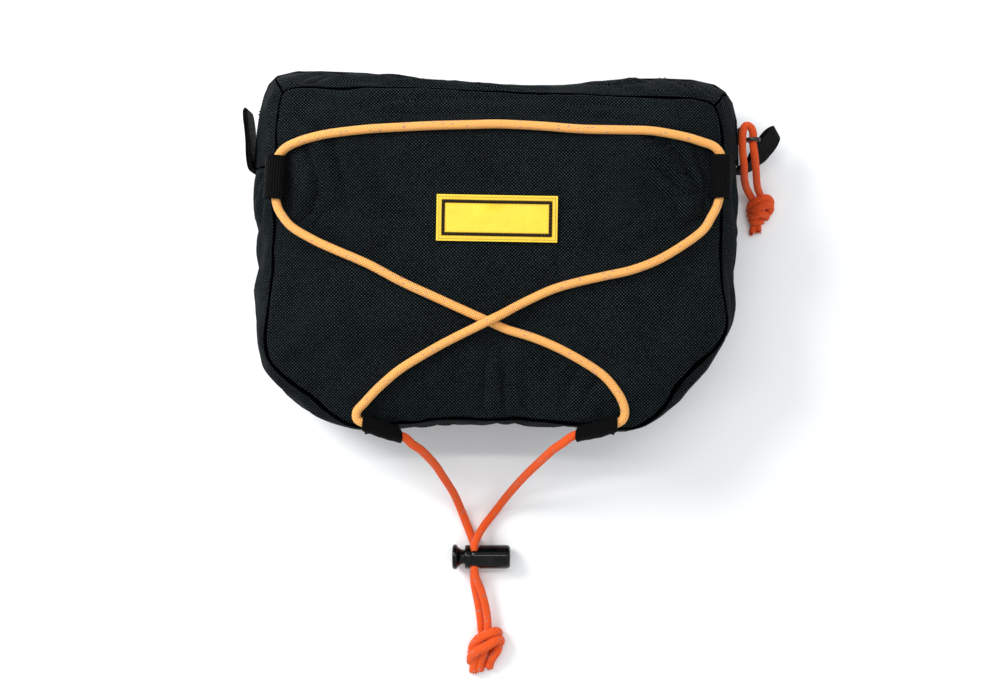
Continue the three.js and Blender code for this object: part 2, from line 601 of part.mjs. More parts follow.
// Patch that follows the crown of the front, with a sunk channel for its stitching
function patch() {
  const lines = (length, inner) => {
    const half = length / 2;
    const edge = half - PATCH_BORDER;
    const base = edge - CHANNEL_WIDTH;
    const outer = [half, edge, edge - CHANNEL_SLOPE, base + CHANNEL_SLOPE, base];
    return [...outer.map((v) => -v), ...inner.map((share) => share * base), ...outer.toReversed()];
  };
  const xs = lines(PATCH_LENGTH, [-0.5, 0, 0.5]);
  const ys = lines(PATCH_HEIGHT, [0]);
  const sunk = (v, length) => {
    const fromEdge = length / 2 - Math.abs(v);
    return fromEdge > PATCH_BORDER + CHANNEL_SLOPE / 2;
  };
  const raisedMiddle = (x, y) => {
    const inset = PATCH_BORDER + CHANNEL_WIDTH - CHANNEL_SLOPE / 2;
    return PATCH_LENGTH / 2 - Math.abs(x) > inset && PATCH_HEIGHT / 2 - Math.abs(y) > inset;
  };
  const placed = (x, y, lift) => {
    const point = new THREE.Vector2(x, y).rotateAround(new THREE.Vector2(), PATCH_TURN);
    const px = point.x;
    const py = point.y + PATCH_UP * halfHeight;
    return new THREE.Vector3(px, py, frontZ(px, py) + SEAM_GAP + lift);
  };
  const topAt = (x, y) => {
    const low = sunk(x, PATCH_LENGTH) && sunk(y, PATCH_HEIGHT) && !raisedMiddle(x, y);
    return placed(x, y, PATCH_THICKNESS - (low ? CHANNEL_DEPTH : 0));
  };
  return loft(xs.map((x) => [...ys.map((y) => topAt(x, y)), ...ys.toReversed().map((y) => placed(x, y, 0))]));
}

// Round pieces of the cord lock, turned about the X axis
function turned(profile, segments) {
  const points = profile.map(([x, radius]) => new THREE.Vector2(radius, x));
  const geometry = new THREE.LatheGeometry(points, segments);
  geometry.rotateZ(-Math.PI / 2);
  return geometry;
}

function block(size, centre) {
  return new THREE.BoxGeometry(...size).translate(...centre);
}

function lockBarrel() {
  const bore = BARREL_RADIUS - BARREL_WALL;
  const round = BARREL_ROUND;
  const body = turned([
    [BORE_DEPTH, 0],
    [BORE_DEPTH, bore],
    [0, bore],
    [0, BARREL_RADIUS - round / 2],
    [round / 2, BARREL_RADIUS],
    [COLLAR_LENGTH, BARREL_RADIUS],
    [COLLAR_LENGTH + COLLAR_GROOVE, BARREL_RADIUS - COLLAR_GROOVE],
    [COLLAR_LENGTH + COLLAR_GROOVE * 2, BARREL_RADIUS],
    [BARREL_LENGTH - round, BARREL_RADIUS],
    [BARREL_LENGTH, BARREL_RADIUS - round],
    [BARREL_LENGTH, 0],
  ], SIDES.barrel);
  const holeWidth = CORD_DIAMETER + SEAM_GAP * 2;
  return cut(body, block([holeWidth, BARREL_RADIUS * 3, SLOT_HEIGHT], [CORD_HOLE_AT, 0, 0]));
}

function lockPlunger() {
  const stem = BARREL_RADIUS - BARREL_WALL - RUNNING_GAP;
  const head = -(PLUNGER_TRAVEL + SEAM_GAP);
  const slotRight = CORD_HOLE_AT + CORD_DIAMETER / 2 + SEAM_GAP;
  const slotLeft = CORD_HOLE_AT - CORD_DIAMETER / 2 - SEAM_GAP - PLUNGER_TRAVEL;
  const body = turned([
    [head - HEAD_THICKNESS, 0],
    [head - HEAD_THICKNESS, HEAD_RADIUS * 0.72],
    [head - HEAD_THICKNESS * 0.8, HEAD_RADIUS],
    [head - HEAD_THICKNESS * 0.35, HEAD_RADIUS],
    [head - HEAD_THICKNESS * 0.25, HEAD_RADIUS * 0.86],
    [head, HEAD_RADIUS * 0.86],
    [head, PLUNGER_NECK],
    [slotLeft - 1.4, PLUNGER_NECK],
    [slotLeft - 0.9, stem],
    [slotRight + PLUNGER_END, stem],
    [slotRight + PLUNGER_END, 0],
  ], SIDES.plunger);
  const slotLength = slotRight - slotLeft;
  return cut(body, block([slotLength, BARREL_RADIUS * 3, SLOT_HEIGHT], [slotLeft + slotLength / 2, 0, 0]));
}

// A tight core with the turns of the cord round it, bored where the strands go in
function knot({ beyond, core, turns }, diameter, strands) {
  const ends = strands.map((points) => new THREE.Vector3(...points.at(-1)).setZ(0));
  const at = ends[0].clone().add(ends[1]).divideScalar(2).add(new THREE.Vector3(...beyond));
  const body = new THREE.SphereGeometry(1, SIDES.core, SIDES.turn).scale(...core.size).translate(...core.at);
  const wraps = turns.map((points) => tube(points, diameter, STEPS.turn, SIDES.turn));
  const whole = joined(body, ...wraps).translate(at.x, at.y, at.z);
  const bores = strands.map((points) => {
    const [before, last] = points.slice(-2).map((point) => new THREE.Vector3(...point));
    const onward = last.clone().sub(before).setLength(SEAM_GAP).add(last);
    const route = [...points.slice(-4), onward.toArray()];
    return tube(route, diameter + SEAM_GAP * 2, STEPS.bore, SIDES.cord);
  });
  return cut(whole, ...bores);
}

function zipSlider() {
  const outline = new THREE.Shape();
  const half = SLIDER_LENGTH / 2;
  const wide = SLIDER_WIDTH / 2;
  outline.moveTo(-half, -wide * 0.7);
  outline.lineTo(half * 0.5, -wide);
  outline.lineTo(half, -wide * 0.5);
  outline.lineTo(half, wide * 0.5);
  outline.lineTo(half * 0.5, wide);
  outline.lineTo(-half, wide * 0.7);
  outline.closePath();
  const plate = new THREE.ExtrudeGeometry(outline, { depth: SLIDER_THICKNESS, bevelEnabled: false });
  const bridge = block([half, wide * 0.5, SLIDER_THICKNESS], [0, 0, SLIDER_THICKNESS]);
  return joined(plate, bridge);
}

function zipPuller() {
  const eye = PULL_DIAMETER / 2 + SEAM_GAP * 1.5;
  const rim = eye + PULLER_RIM;
  const shape = new THREE.Shape().absarc(0, 0, rim, 0, Math.PI * 2);
  shape.holes.push(new THREE.Path().absarc(0, 0, eye, 0, Math.PI * 2, true));
  const settings = { depth: PULLER_THICKNESS, bevelEnabled: false, curveSegments: 10 };
  const ring = new THREE.ExtrudeGeometry(shape, settings).translate(0, 0, -PULLER_THICKNESS / 2);
  const neckEnd = -rim - PULLER_REACH;
  const neckStart = -rim + PULLER_RIM / 2;
  const neckSize = [neckStart - neckEnd, PULLER_RIM * 1.4, PULLER_THICKNESS * 0.9];
  const neck = block(neckSize, [(neckStart + neckEnd) / 2, 0, 0]);
  return joined(ring, neck);
}

// Assembly

const finish = {
  nylon: { color: 0x101416, roughness: 0.85, metalness: 0 },
  webbing: { color: 0x0b0c0d, roughness: 0.7, metalness: 0 },
  zipTape: { color: 0x0a0b0c, roughness: 0.75, metalness: 0 },
  metal: { color: 0x24262a, roughness: 0.35, metalness: 0.9 },
  cord: { color: 0xff8a3c, roughness: 0.75, metalness: 0 },
  redCord: { color: 0xf4501e, roughness: 0.75, metalness: 0 },
  plastic: { color: 0x0a0a0b, roughness: 0.25, metalness: 0 },
  patch: { color: 0xf7cf30, roughness: 0.6, metalness: 0 },
};

const bag = new THREE.Group();

function add(name, geometry, look, parent = bag) {
  const material = new THREE.MeshStandardMaterial(finish[look]);
  const mesh = new THREE.Mesh(geometry, material);
  mesh.name = name;
  parent.add(mesh);
  return mesh;
}

// Webbing tabs at the zip's ends: the height of the tab's middle, the strap's line in plan
// from its foot, and how far the strap leans at its foot and at its fold, in degrees.
const TABS = [
  {
    name: 'tab_right',
    run: zipEnd,
    middle: 22,
    spine: [[0, 0], [3, 0], [8, 1.6], [14.5, 8], [20.5, 16]],
    lean: [0, -50],
  },
  {
    name: 'tab_left',
    run: zipStart,
    middle: 29,
    spine: [[0, 0], [-2.2, 0.8], [-3, 6], [-2.4, 14], [-1.8, 24], [-2.6, 33]],
    lean: [0, 8],
  },
];
const SLIDER_RUN = zipEnd - 0.44;

const gussetRuns = trimmedRuns(zipEnd, OUTLINE.length);
const topRuns = trimmedRuns(zipStart, zipEnd);
add('front_panel', frontPanel(), 'nylon');
add('back_panel', backPanel(), 'nylon');
add('gusset', fabricBand(gussetRuns, 0, 1), 'nylon');
add('zip_panel_back', fabricBand(topRuns, 0, zipLow - gapShare), 'nylon');
add('zip_panel_front', fabricBand(topRuns, zipHigh + gapShare, 1), 'nylon');
add('zip', zip(), 'zipTape');
for (const [name, rows] of Object.entries(LOOPS)) add(name, seamLoop(rows), 'webbing');
for (const { name, run, middle, spine, lean } of TABS) add(name, tab(run, middle, spine, lean), 'webbing');
add('patch', patch(), 'patch');

const lock = new THREE.Group();
const lockHole = onBag([LOCK_AT.across, LOCK_AT.up, 0]);
lock.position.set(lockHole[0] - CORD_HOLE_AT, lockHole[1], HEAD_RADIUS + LOCK_AT.clear);
bag.add(lock);
add('cord_lock_barrel', lockBarrel(), 'plastic', lock);
add('cord_lock_plunger', lockPlunger(), 'plastic', lock);

const sliderAt = sidePoint(SLIDER_RUN, heightShare(ZIP_HEIGHT), COIL_RELIEF + SEAM_GAP);
const sliderGroup = new THREE.Group();
sliderGroup.position.copy(sliderAt);
sliderGroup.rotation.set(0, Math.PI / 2, 0);
bag.add(sliderGroup);
const slider = add('zip_slider', zipSlider(), 'metal', sliderGroup);
slider.rotation.z = Math.PI / 2;

const fromSlider = ([x, y, z]) => [sliderAt.x + x, sliderAt.y + y, z];
const pullArc = PULL_ARC.map(fromSlider);
const pullShort = PULL_SHORT.map(fromSlider);
const puller = add('zip_puller', zipPuller(), 'metal');
puller.rotation.set(Math.PI / 2, 0, Math.PI / 2);
puller.position.set(pullArc[0][0], (pullArc[0][1] + pullShort[0][1]) / 2, pullArc[0][2]);
add('zip_pull_strand_arc', tube(pullArc, PULL_DIAMETER, STEPS.arc, SIDES.cord), 'redCord');
add('zip_pull_strand_short', tube(pullShort, PULL_DIAMETER, STEPS.strand, SIDES.cord), 'redCord');
add('zip_pull_knot', knot(PULL_KNOT, PULL_DIAMETER, [pullArc, pullShort]), 'redCord');

const tailLeft = TAIL_LEFT.map(onBag);
const tailRight = TAIL_RIGHT.map(onBag);
add('bungee_lacing', tube(LACING.map(onBag), CORD_DIAMETER, STEPS.lacing, SIDES.cord), 'cord');
add('bungee_tail_left', tube(tailLeft, CORD_DIAMETER, STEPS.tail, SIDES.cord), 'redCord');
add('bungee_tail_right', tube(tailRight, CORD_DIAMETER, STEPS.tail, SIDES.cord), 'redCord');
add('bungee_knot', knot(BUNGEE_KNOT, CORD_DIAMETER, [tailLeft, tailRight]), 'redCord');

export default bag;
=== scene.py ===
"""Handlebar bag: a stuffed nylon pouch on its back, laced with elastic cord."""

import math
import random
from bisect import bisect_left
from collections import namedtuple
from itertools import accumulate

import bmesh
import bpy
from mathutils import Matrix, Vector, noise
from mathutils.bvhtree import BVHTree


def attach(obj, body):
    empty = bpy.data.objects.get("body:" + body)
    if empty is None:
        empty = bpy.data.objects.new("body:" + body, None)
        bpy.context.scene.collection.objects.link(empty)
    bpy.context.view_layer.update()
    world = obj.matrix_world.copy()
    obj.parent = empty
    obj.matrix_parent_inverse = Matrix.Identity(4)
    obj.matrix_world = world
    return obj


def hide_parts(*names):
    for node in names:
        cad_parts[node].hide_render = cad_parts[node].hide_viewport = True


bl_info = {
    "name": "Handlebar bag",
    "version": (1, 0, 0),
    "blender": (4, 5, 0),
    "location": "View3D > Sidebar > Handlebar bag",
    "description": "Builds the pouch, its lacing and its trim over the packed model",
    "category": "Mesh",
}

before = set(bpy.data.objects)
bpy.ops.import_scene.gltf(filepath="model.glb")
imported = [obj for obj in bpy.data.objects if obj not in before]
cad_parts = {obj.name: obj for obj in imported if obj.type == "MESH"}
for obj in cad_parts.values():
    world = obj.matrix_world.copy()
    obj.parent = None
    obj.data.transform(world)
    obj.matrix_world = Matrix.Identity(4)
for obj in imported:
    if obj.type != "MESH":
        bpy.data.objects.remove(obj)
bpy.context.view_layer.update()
MM = 0.001
BODY = "bag"
UP = Vector((0, 0, 1))
CURVE_STEPS = 12


# Shapes

def millimetres(points):
    return [Vector(point) * MM for point in points]


def lengths_along(route):
    """How far along a route each of its points lies."""
    return list(accumulate(((b - a).length for a, b in zip(route, route[1:])), initial=0.0))


def smooth_route(points, step):
    """Points spaced evenly along a smooth curve through the given ones."""
    dense = []
    ends = [points[0] * 2 - points[1], *points, points[-1] * 2 - points[-2]]
    for before, a, b, after in zip(ends, ends[1:], ends[2:], ends[3:]):
        for t in (i / CURVE_STEPS for i in range(CURVE_STEPS)):
            dense.append(0.5 * (
                2 * a + (b - before) * t
                + (2 * before - 5 * a + 4 * b - after) * t * t
                + (3 * a - before - 3 * b + after) * t ** 3
            ))
    dense.append(points[-1].copy())
    lengths = lengths_along(dense)
    count = max(2, round(lengths[-1] / step))
    route = []
    for i in range(count + 1):
        wanted = lengths[-1] * i / count
        at = min(bisect_left(lengths, wanted, 1), len(lengths) - 1)
        share = (wanted - lengths[at - 1]) / max(lengths[at] - lengths[at - 1], 1e-9)
        route.append(dense[at - 1].lerp(dense[at], min(1.0, share)))
    return route


def ways_along(route):
    """The direction of a route at each of its points."""
    return [(after - before).normalized()
            for before, after in zip(route[:1] + route[:-1], route[1:] + route[-1:])]


def frames_along(route):
    """A turn matrix at each point of a route, that rolls as little as it can."""
    ways = ways_along(route)
    side = ways[0].orthogonal().normalized()
    turns = []
    for way in ways:
        side = (side - way * side.dot(way)).normalized()
        turns.append(Matrix((side, way.cross(side), way)).transposed())
    return turns


def in_scene(name, shape):
    """Puts a bmesh in the scene as an object."""
    mesh = bpy.data.meshes.new(name)
    shape.to_mesh(mesh)
    shape.free()
    made = bpy.data.objects.new(name, mesh)
    bpy.context.scene.collection.objects.link(made)
    return made


def place(name, shape, material, body=BODY):
    """Puts a finished bmesh in the scene as a piece that rides on a body."""
    shape.normal_update()
    piece = in_scene(name, shape)
    piece.data.shade_smooth()
    piece.data.materials.append(material)
    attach(piece, body)
    return piece


def rounder(piece, levels):
    made = piece.modifiers.new("rounder", "SUBSURF")
    made.levels = made.render_levels = levels


def edging(piece, width, limit, segments=2):
    """Rounds the edges that turn by more than a limit."""
    made = piece.modifiers.new("edge", "BEVEL")
    made.width = width
    made.segments = segments
    made.limit_method = "ANGLE"
    made.angle_limit = limit


def finished(piece, sharp=None):
    """Works a piece's modifiers into its mesh, and marks edges sharper than an angle."""
    graph = bpy.context.evaluated_depsgraph_get()
    mesh = bpy.data.meshes.new_from_object(piece.evaluated_get(graph))
    piece.modifiers.clear()
    piece.data = mesh
    mesh.shade_smooth()
    if sharp is not None:
        mesh.set_sharp_from_angle(angle=sharp)


def extruded(shape, edges, row):
    """Extrudes a row of edges, and gives the new edges and the new points in the row's order."""
    made = bmesh.ops.extrude_edge_only(shape, edges=edges)["geom"]
    fresh = {part for part in made if isinstance(part, bmesh.types.BMVert)}
    ahead = []
    for old in row:
        beside = (edge.other_vert(old) for edge in old.link_edges)
        ahead.append(next(vert for vert in beside if vert in fresh))
    found = [part for part in made
             if isinstance(part, bmesh.types.BMEdge) and fresh.issuperset(part.verts)]
    return found, ahead


def cord_shape(route, radius, sides, swell=None):
    """A round cord along a route, with UVs in metres: along it in u and round it in v."""
    shape = bmesh.new()
    uv_layer = shape.loops.layers.uv.new("UVMap")
    places = [Matrix.Translation(point) @ turn.to_4x4()
              for point, turn in zip(route, frames_along(route))]
    row = bmesh.ops.create_circle(
        shape, segments=sides, radius=radius, matrix=places[0])["verts"]
    edges = shape.edges[:]
    bmesh.ops.contextual_create(shape, geom=edges)
    order = {vert: i for i, vert in enumerate(row)}
    along = {vert: 0.0 for vert in row}
    lengths = lengths_along(route)
    size = 1.0
    for i in range(1, len(route)):
        edges, row = extruded(shape, edges, row)
        order.update((vert, rank) for rank, vert in enumerate(row))
        along.update((vert, lengths[i]) for vert in row)
        fuller = 1.0 if swell is None else swell(i / (len(route) - 1))
        grow = Matrix.Diagonal((fuller / size, fuller / size, 1.0, 1.0))
        bmesh.ops.transform(
            shape, matrix=places[i] @ grow @ places[i - 1].inverted(), verts=row)
        size = fuller
    bmesh.ops.contextual_create(shape, geom=edges)
    pitch = math.tau * radius / sides
    for face in shape.faces:
        ranks = [order[loop.vert] for loop in face.loops]
        wraps = max(ranks) - min(ranks) > sides / 2
        for loop in face.loops:
            rank = order[loop.vert]
            if wraps and rank < sides / 2:
                rank += sides
            loop[uv_layer].uv = (along[loop.vert], rank * pitch)
    bmesh.ops.recalc_face_normals(shape, faces=shape.faces[:])
    return shape


def node_copy(name, node, material):
    """A merged copy of a CAD node's mesh, as a piece of its own that stands for the node."""
    shape = bmesh.new()
    shape.from_mesh(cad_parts[node].data)
    bmesh.ops.remove_doubles(shape, verts=shape.verts[:], dist=0.00002)
    bmesh.ops.join_triangles(
        shape, faces=shape.faces[:], angle_face_threshold=0.6, angle_shape_threshold=0.9,
    )
    piece = place(name, shape, material)
    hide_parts(node)
    return piece


def boxed_uv(piece):
    """UVs in metres, laid flat from the side that each face looks to."""
    mesh = piece.data
    while mesh.uv_layers:
        mesh.uv_layers.remove(mesh.uv_layers[0])
    layer = mesh.uv_layers.new(name="UVMap")
    for face in mesh.polygons:
        facing = max((2, 1, 0), key=lambda axis: abs(face.normal[axis]))
        first, second = (axis for axis in range(3) if axis != facing)
        for corner in face.loop_indices:
            co = mesh.vertices[mesh.loops[corner].vertex_index].co
            layer.data[corner].uv = (co[first], co[second])


def outermost(mesh, wanted, bins):
    """The outermost points whose height is wanted, one for each step round the middle."""
    far = {}
    for vert in mesh.vertices:
        if wanted(vert.co.z):
            rank = int((math.atan2(vert.co.y, vert.co.x) / math.tau + 0.5) * bins) % bins
            if rank not in far or vert.co.xy.length > far[rank].xy.length:
                far[rank] = vert.co.copy()
    return [far[rank] for rank in sorted(far)]


def surface_of(mesh):
    """A mesh's surface, to cast rays on."""
    return BVHTree.FromPolygons(
        [vert.co for vert in mesh.vertices], [face.vertices[:] for face in mesh.polygons])


# Finishes

class Finish:
    """A material in the making: its shader, and its places and UVs, both in metres."""

    def __init__(self, name, **shader):
        self.material = bpy.data.materials.new(name)
        self.material.use_nodes = True
        self.tree = self.material.node_tree
        self.surface = self.tree.nodes["Principled BSDF"]
        for key, value in shader.items():
            self.surface.inputs[key.replace("_", " ")].default_value = value
        places = self.node("TexCoord").outputs
        self.place = places["Object"]
        self.u, self.v, _ = self.node("SeparateXYZ", {"Vector": places["UV"]}).outputs

    def node(self, kind, inputs=None, **settings):
        """A shader node with its settings made and its inputs set or linked."""
        made = self.tree.nodes.new("ShaderNode" + kind)
        for key, value in settings.items():
            setattr(made, key, value)
        for key, value in (inputs or {}).items():
            if isinstance(value, bpy.types.NodeSocket):
                self.tree.links.new(value, made.inputs[key])
            else:
                made.inputs[key].default_value = value
        return made

    def calc(self, operation, *values):
        return self.node("Math", dict(enumerate(values)), operation=operation).outputs[0]

    def scaled(self, value, factor, offset=0.0):
        return self.calc("MULTIPLY_ADD", value, factor, offset)

    def distance(self, value, other):
        return self.calc("ABSOLUTE", self.calc("SUBTRACT", value, other))

    def ramp(self, value, low, high, start, end):
        """Takes a value from the range low to high to the range start to end."""
        return self.node("MapRange", {
            "Value": value, "From Min": low, "From Max": high, "To Min": start, "To Max": end,
        }).outputs["Result"]

    def noise(self, scale, detail=2.0, roughness=0.5):
        return self.node("TexNoise", {
            "Vector": self.place, "Scale": scale, "Detail": detail, "Roughness": roughness,
        }).outputs["Fac"]

    def spread(self, noise_value, start, end):
        """Takes the middle of a noise's values to a range."""
        return self.ramp(noise_value, 0.3, 0.7, start, end)

    def crossed(self, along, across):
        """Slanted yarns that cross, 0 between them and 1 on top, by their turns per metre."""
        one, other = self.scaled(self.u, along), self.scaled(self.v, across)
        waves = [self.calc("SINE", self.calc(way, one, other)) for way in ("ADD", "SUBTRACT")]
        return self.calc("ABSOLUTE", self.calc("MULTIPLY", *waves))

    def ribbed(self, value, pitch):
        wave = self.calc("SINE", self.scaled(value, math.tau / pitch))
        return self.ramp(wave, -1, 1, 0, 1)

    def mixed(self, share, one, other):
        return self.node(
            "Mix", {"Factor": share, "A": one, "B": other}, data_type="RGBA",
        ).outputs["Result"]

    def bumped(self, height, distance, strength=1.0, under=None):
        inputs = {"Height": height, "Distance": distance, "Strength": strength}
        if under is not None:
            inputs["Normal"] = under
        return self.node("Bump", inputs).outputs["Normal"]

    def done(self, **links):
        """The material, with these sockets of its shader linked."""
        for key, value in links.items():
            self.tree.links.new(value, self.surface.inputs[key.replace("_", " ")])
        return self.material


def colour(values, factor=1.0, offset=0.0):
    """A colour with its alpha, made darker or lighter."""
    return (*(min(1.0, value * factor + offset) for value in values), 1.0)


def nylon_finish(sizes, colours):
    """Coated nylon: yarns in a slanted grid with painted highlight where they cross and painted
    shade between them, broad soft patches of uneven tone and painted sheen and shade, and fine
    crumples.
    """
    look = Finish(
        "nylon", Sheen_Weight=0.0005, Sheen_Roughness=0.4, Sheen_Tint=(0.5, 0.62, 0.66, 1),
        Specular_IOR_Level=0.01,
    )
    turns = math.pi / (sizes.weave_pitch * math.sqrt(2))
    weave = look.crossed(turns, turns)
    # The yarn crossings are lightened as painted highlight and the ground between them darkened as
    # painted shade.
    shade = look.calc(
        "ADD", look.ramp(weave, 0.5, 0.98, 0.0, 0.95), look.spread(look.noise(60, 3), 0, 0.05))
    # The fine noise (scale 900) is uneven yarn tone; the broad one (scale 8) gives soft patches of
    # uneven tone and painted sheen and shade.
    for scale, darkest, lightest in ((900, 0.45, 1.25), (8, 0.85, 1.15)):
        uneven = look.spread(look.noise(scale, 1), darkest, lightest)
        shade = look.calc("MULTIPLY", shade, uneven)
    nylon = colours.nylon_colour
    normal = None
    for scale, detail, roughness, distance, strength in (
        (26, 2, 0.5, 0.007, 0.7), (75, 5, 0.55, 0.0018, 0.7), (210, 3, 0.5, 0.0005, 0.5),
    ):
        height = look.noise(scale, detail, roughness)
        normal = look.bumped(height, distance, strength, normal)
    return look.done(
        Base_Color=look.mixed(shade, colour(nylon, 0.12), colour(nylon, 10)),
        Roughness=look.spread(look.noise(90, 3), 0.5, 0.7),
        Normal=look.bumped(weave, 0.0002, 0.9, normal),
    )


def webbing_finish(colours, name="webbing", rib=0.00125, yarn=0.0011):
    """Woven strap: ribs across its length, which is u, and yarns beside each other in v, with
    painted highlight on their crests and painted shade in the hollows.
    """
    look = Finish(
        name, Sheen_Weight=0.004, Sheen_Roughness=0.4, Sheen_Tint=(0.6, 0.62, 0.66, 1),
        Specular_IOR_Level=0.05,
    )
    uneven = look.noise(700)
    fine = look.calc("ADD", look.scaled(look.ribbed(look.v, yarn), 0.3), look.scaled(uneven, 0.4))
    height = look.calc("ADD", look.ribbed(look.u, rib), fine)
    webbing = colours.webbing_colour
    # The colour follows the strap's height: rib and yarn crests get painted highlight and the
    # hollows painted shade, with uneven tone from the noise.
    return look.done(
        Base_Color=look.mixed(
            look.ramp(height, 0.2, 1.6, 0, 1), colour(webbing, 0.35), colour(webbing, 3.2)),
        Roughness=look.spread(uneven, 0.5, 0.75),
        Normal=look.bumped(height, 0.0004, 0.9),
    )


def braid_finish(name, base, edge, girth, flecks, slant=0.003):
    """Braided cord: crossed yarns on the UVs, with painted shade between them, and reflective
    flecks.
    """
    look = Finish(
        name, Sheen_Weight=0.06, Sheen_Roughness=0.5, Sheen_Tint=(1.0, 0.75, 0.55, 1),
        Specular_IOR_Level=0.2, Subsurface_Weight=0.12, Subsurface_Radius=(0.002, 0.0008, 0.0003),
        Subsurface_Scale=0.6,
    )
    braid = look.crossed(math.tau / slant, math.tau * 4 / girth)
    fibres = look.noise(1800)
    # The edge colour is painted shade in the hollows between the yarns.
    tint = look.mixed(look.ramp(braid, 0.0, 0.55, 0, 1), colour(edge), colour(base))
    tint = look.mixed(look.ramp(fibres, 0.35, 0.8, 0, 0.35), tint, colour(base, 1.25, 0.03))
    if flecks:
        spots = look.node("CombineXYZ", {
            "X": look.scaled(look.u, 420), "Y": look.scaled(look.v, 900),
        }).outputs[0]
        cells = look.node(
            "TexVoronoi", {"Vector": spots, "Scale": 1.0, "Randomness": 1.0},
            voronoi_dimensions="2D",
        ).outputs
        rank = look.node("SeparateColor", {"Color": cells["Color"]}).outputs[0]
        chosen = look.calc("GREATER_THAN", rank, 0.9)
        near = look.ramp(cells["Distance"], 0.28, 0.4, 1, 0)
        picked = look.scaled(look.calc("MULTIPLY", chosen, near), 0.7)
        tint = look.mixed(picked, tint, (0.45, 0.25, 0.25, 1))
    return look.done(
        Base_Color=tint,
        Roughness=look.spread(fibres, 0.55, 0.8),
        Normal=look.bumped(braid, 0.0005, 0.9, look.bumped(fibres, 0.00015, 0.5)),
    )


# The patch, in millimetres: its middle, its half sizes, how far in its sewn channel and its
# pressed line run, and half the channel's width.
PATCH_MIDDLE = Vector((0, 18.79, 0))
PATCH_HALF = (29.75, 11.4)
PATCH_TURN = math.radians(-1)
PRESSED_AT = 1.1
CHANNEL_AT = 3.35
CHANNEL_HALF = 0.95


def patch_finish(colours):
    """Smooth rubbery cloth, with painted shade along its pressed line and beside its sewn channel.
    """
    look = Finish("patch", Specular_IOR_Level=0.4, Sheen_Weight=0.05)
    cloudy = look.noise(45, 4)
    base = colours.patch_colour
    deep = [value * share for value, share in zip(base, (0.86, 0.72, 0.5))]
    tint = look.mixed(look.spread(cloudy, 0.55, 1.0), colour(deep), colour(base))
    x, y, _ = look.node("SeparateXYZ", {"Vector": look.place}).outputs
    off_y = look.calc("SUBTRACT", y, PATCH_MIDDLE.y * MM)
    off_y = look.calc("SUBTRACT", off_y, look.scaled(x, math.tan(PATCH_TURN)))
    inside = look.calc("MINIMUM", *(
        look.scaled(look.calc("ABSOLUTE", off), -1.0, half * MM)
        for off, half in zip((x, off_y), PATCH_HALF)
    ))
    # The pressed line is a groove in the bump and painted shade in the colour; the band beside the
    # sewn channel is painted shade along the channel's edge.
    line = look.ramp(look.distance(inside, PRESSED_AT * MM), 0.0001, 0.00045, 0.55, 0.0)
    beside = look.ramp(look.distance(inside, CHANNEL_AT * MM), 0.0009, 0.0018, 0.4, 0.0)
    ripple = look.bumped(cloudy, 0.0025, 0.8, look.bumped(line, 0.0004, 0.8))
    return look.done(
        Base_Color=look.mixed(look.calc("MAXIMUM", line, beside), tint, (0.36, 0.2, 0.01, 1)),
        Roughness=look.spread(cloudy, 0.42, 0.6),
        Normal=look.bumped(look.noise(1500, 3), 0.00006, 0.6, ripple),
    )


def hard_finish(name, base, roughness, coat):
    """Moulded plastic or painted metal: a fine orange peel, and a little wear in its gloss."""
    look = Finish(name, Coat_Weight=coat, Coat_Roughness=0.05, Specular_IOR_Level=0.14)
    wear = look.noise(130, 5)
    worn = look.ramp(wear, 0.45, 0.75, 0, 1)
    return look.done(
        Base_Color=look.mixed(worn, colour(base), colour(base, 1.8, 0.004)),
        Roughness=look.ramp(wear, 0.35, 0.7, roughness, roughness + 0.16),
        Normal=look.bumped(look.noise(900), 0.00008, 0.35),
    )


def thread_finish(name, base, gloss):
    """Twisted thread, or the matte near-black tubes of painted shade in the seams."""
    look = Finish(name, Specular_IOR_Level=gloss)
    twist = look.noise(2500)
    return look.done(
        # The twist noise lightens some strands as uneven tone; the lift that grows with the gloss
        # is painted sheen.
        Base_Color=look.mixed(twist, colour(base), colour(base, 2.5, gloss * 0.02)),
        Roughness=look.spread(twist, 0.8 - gloss, 1.0 - gloss),
        Normal=look.bumped(twist, 0.0001, 0.6),
    )


# Routes of the cords in millimetres, as in the part's source

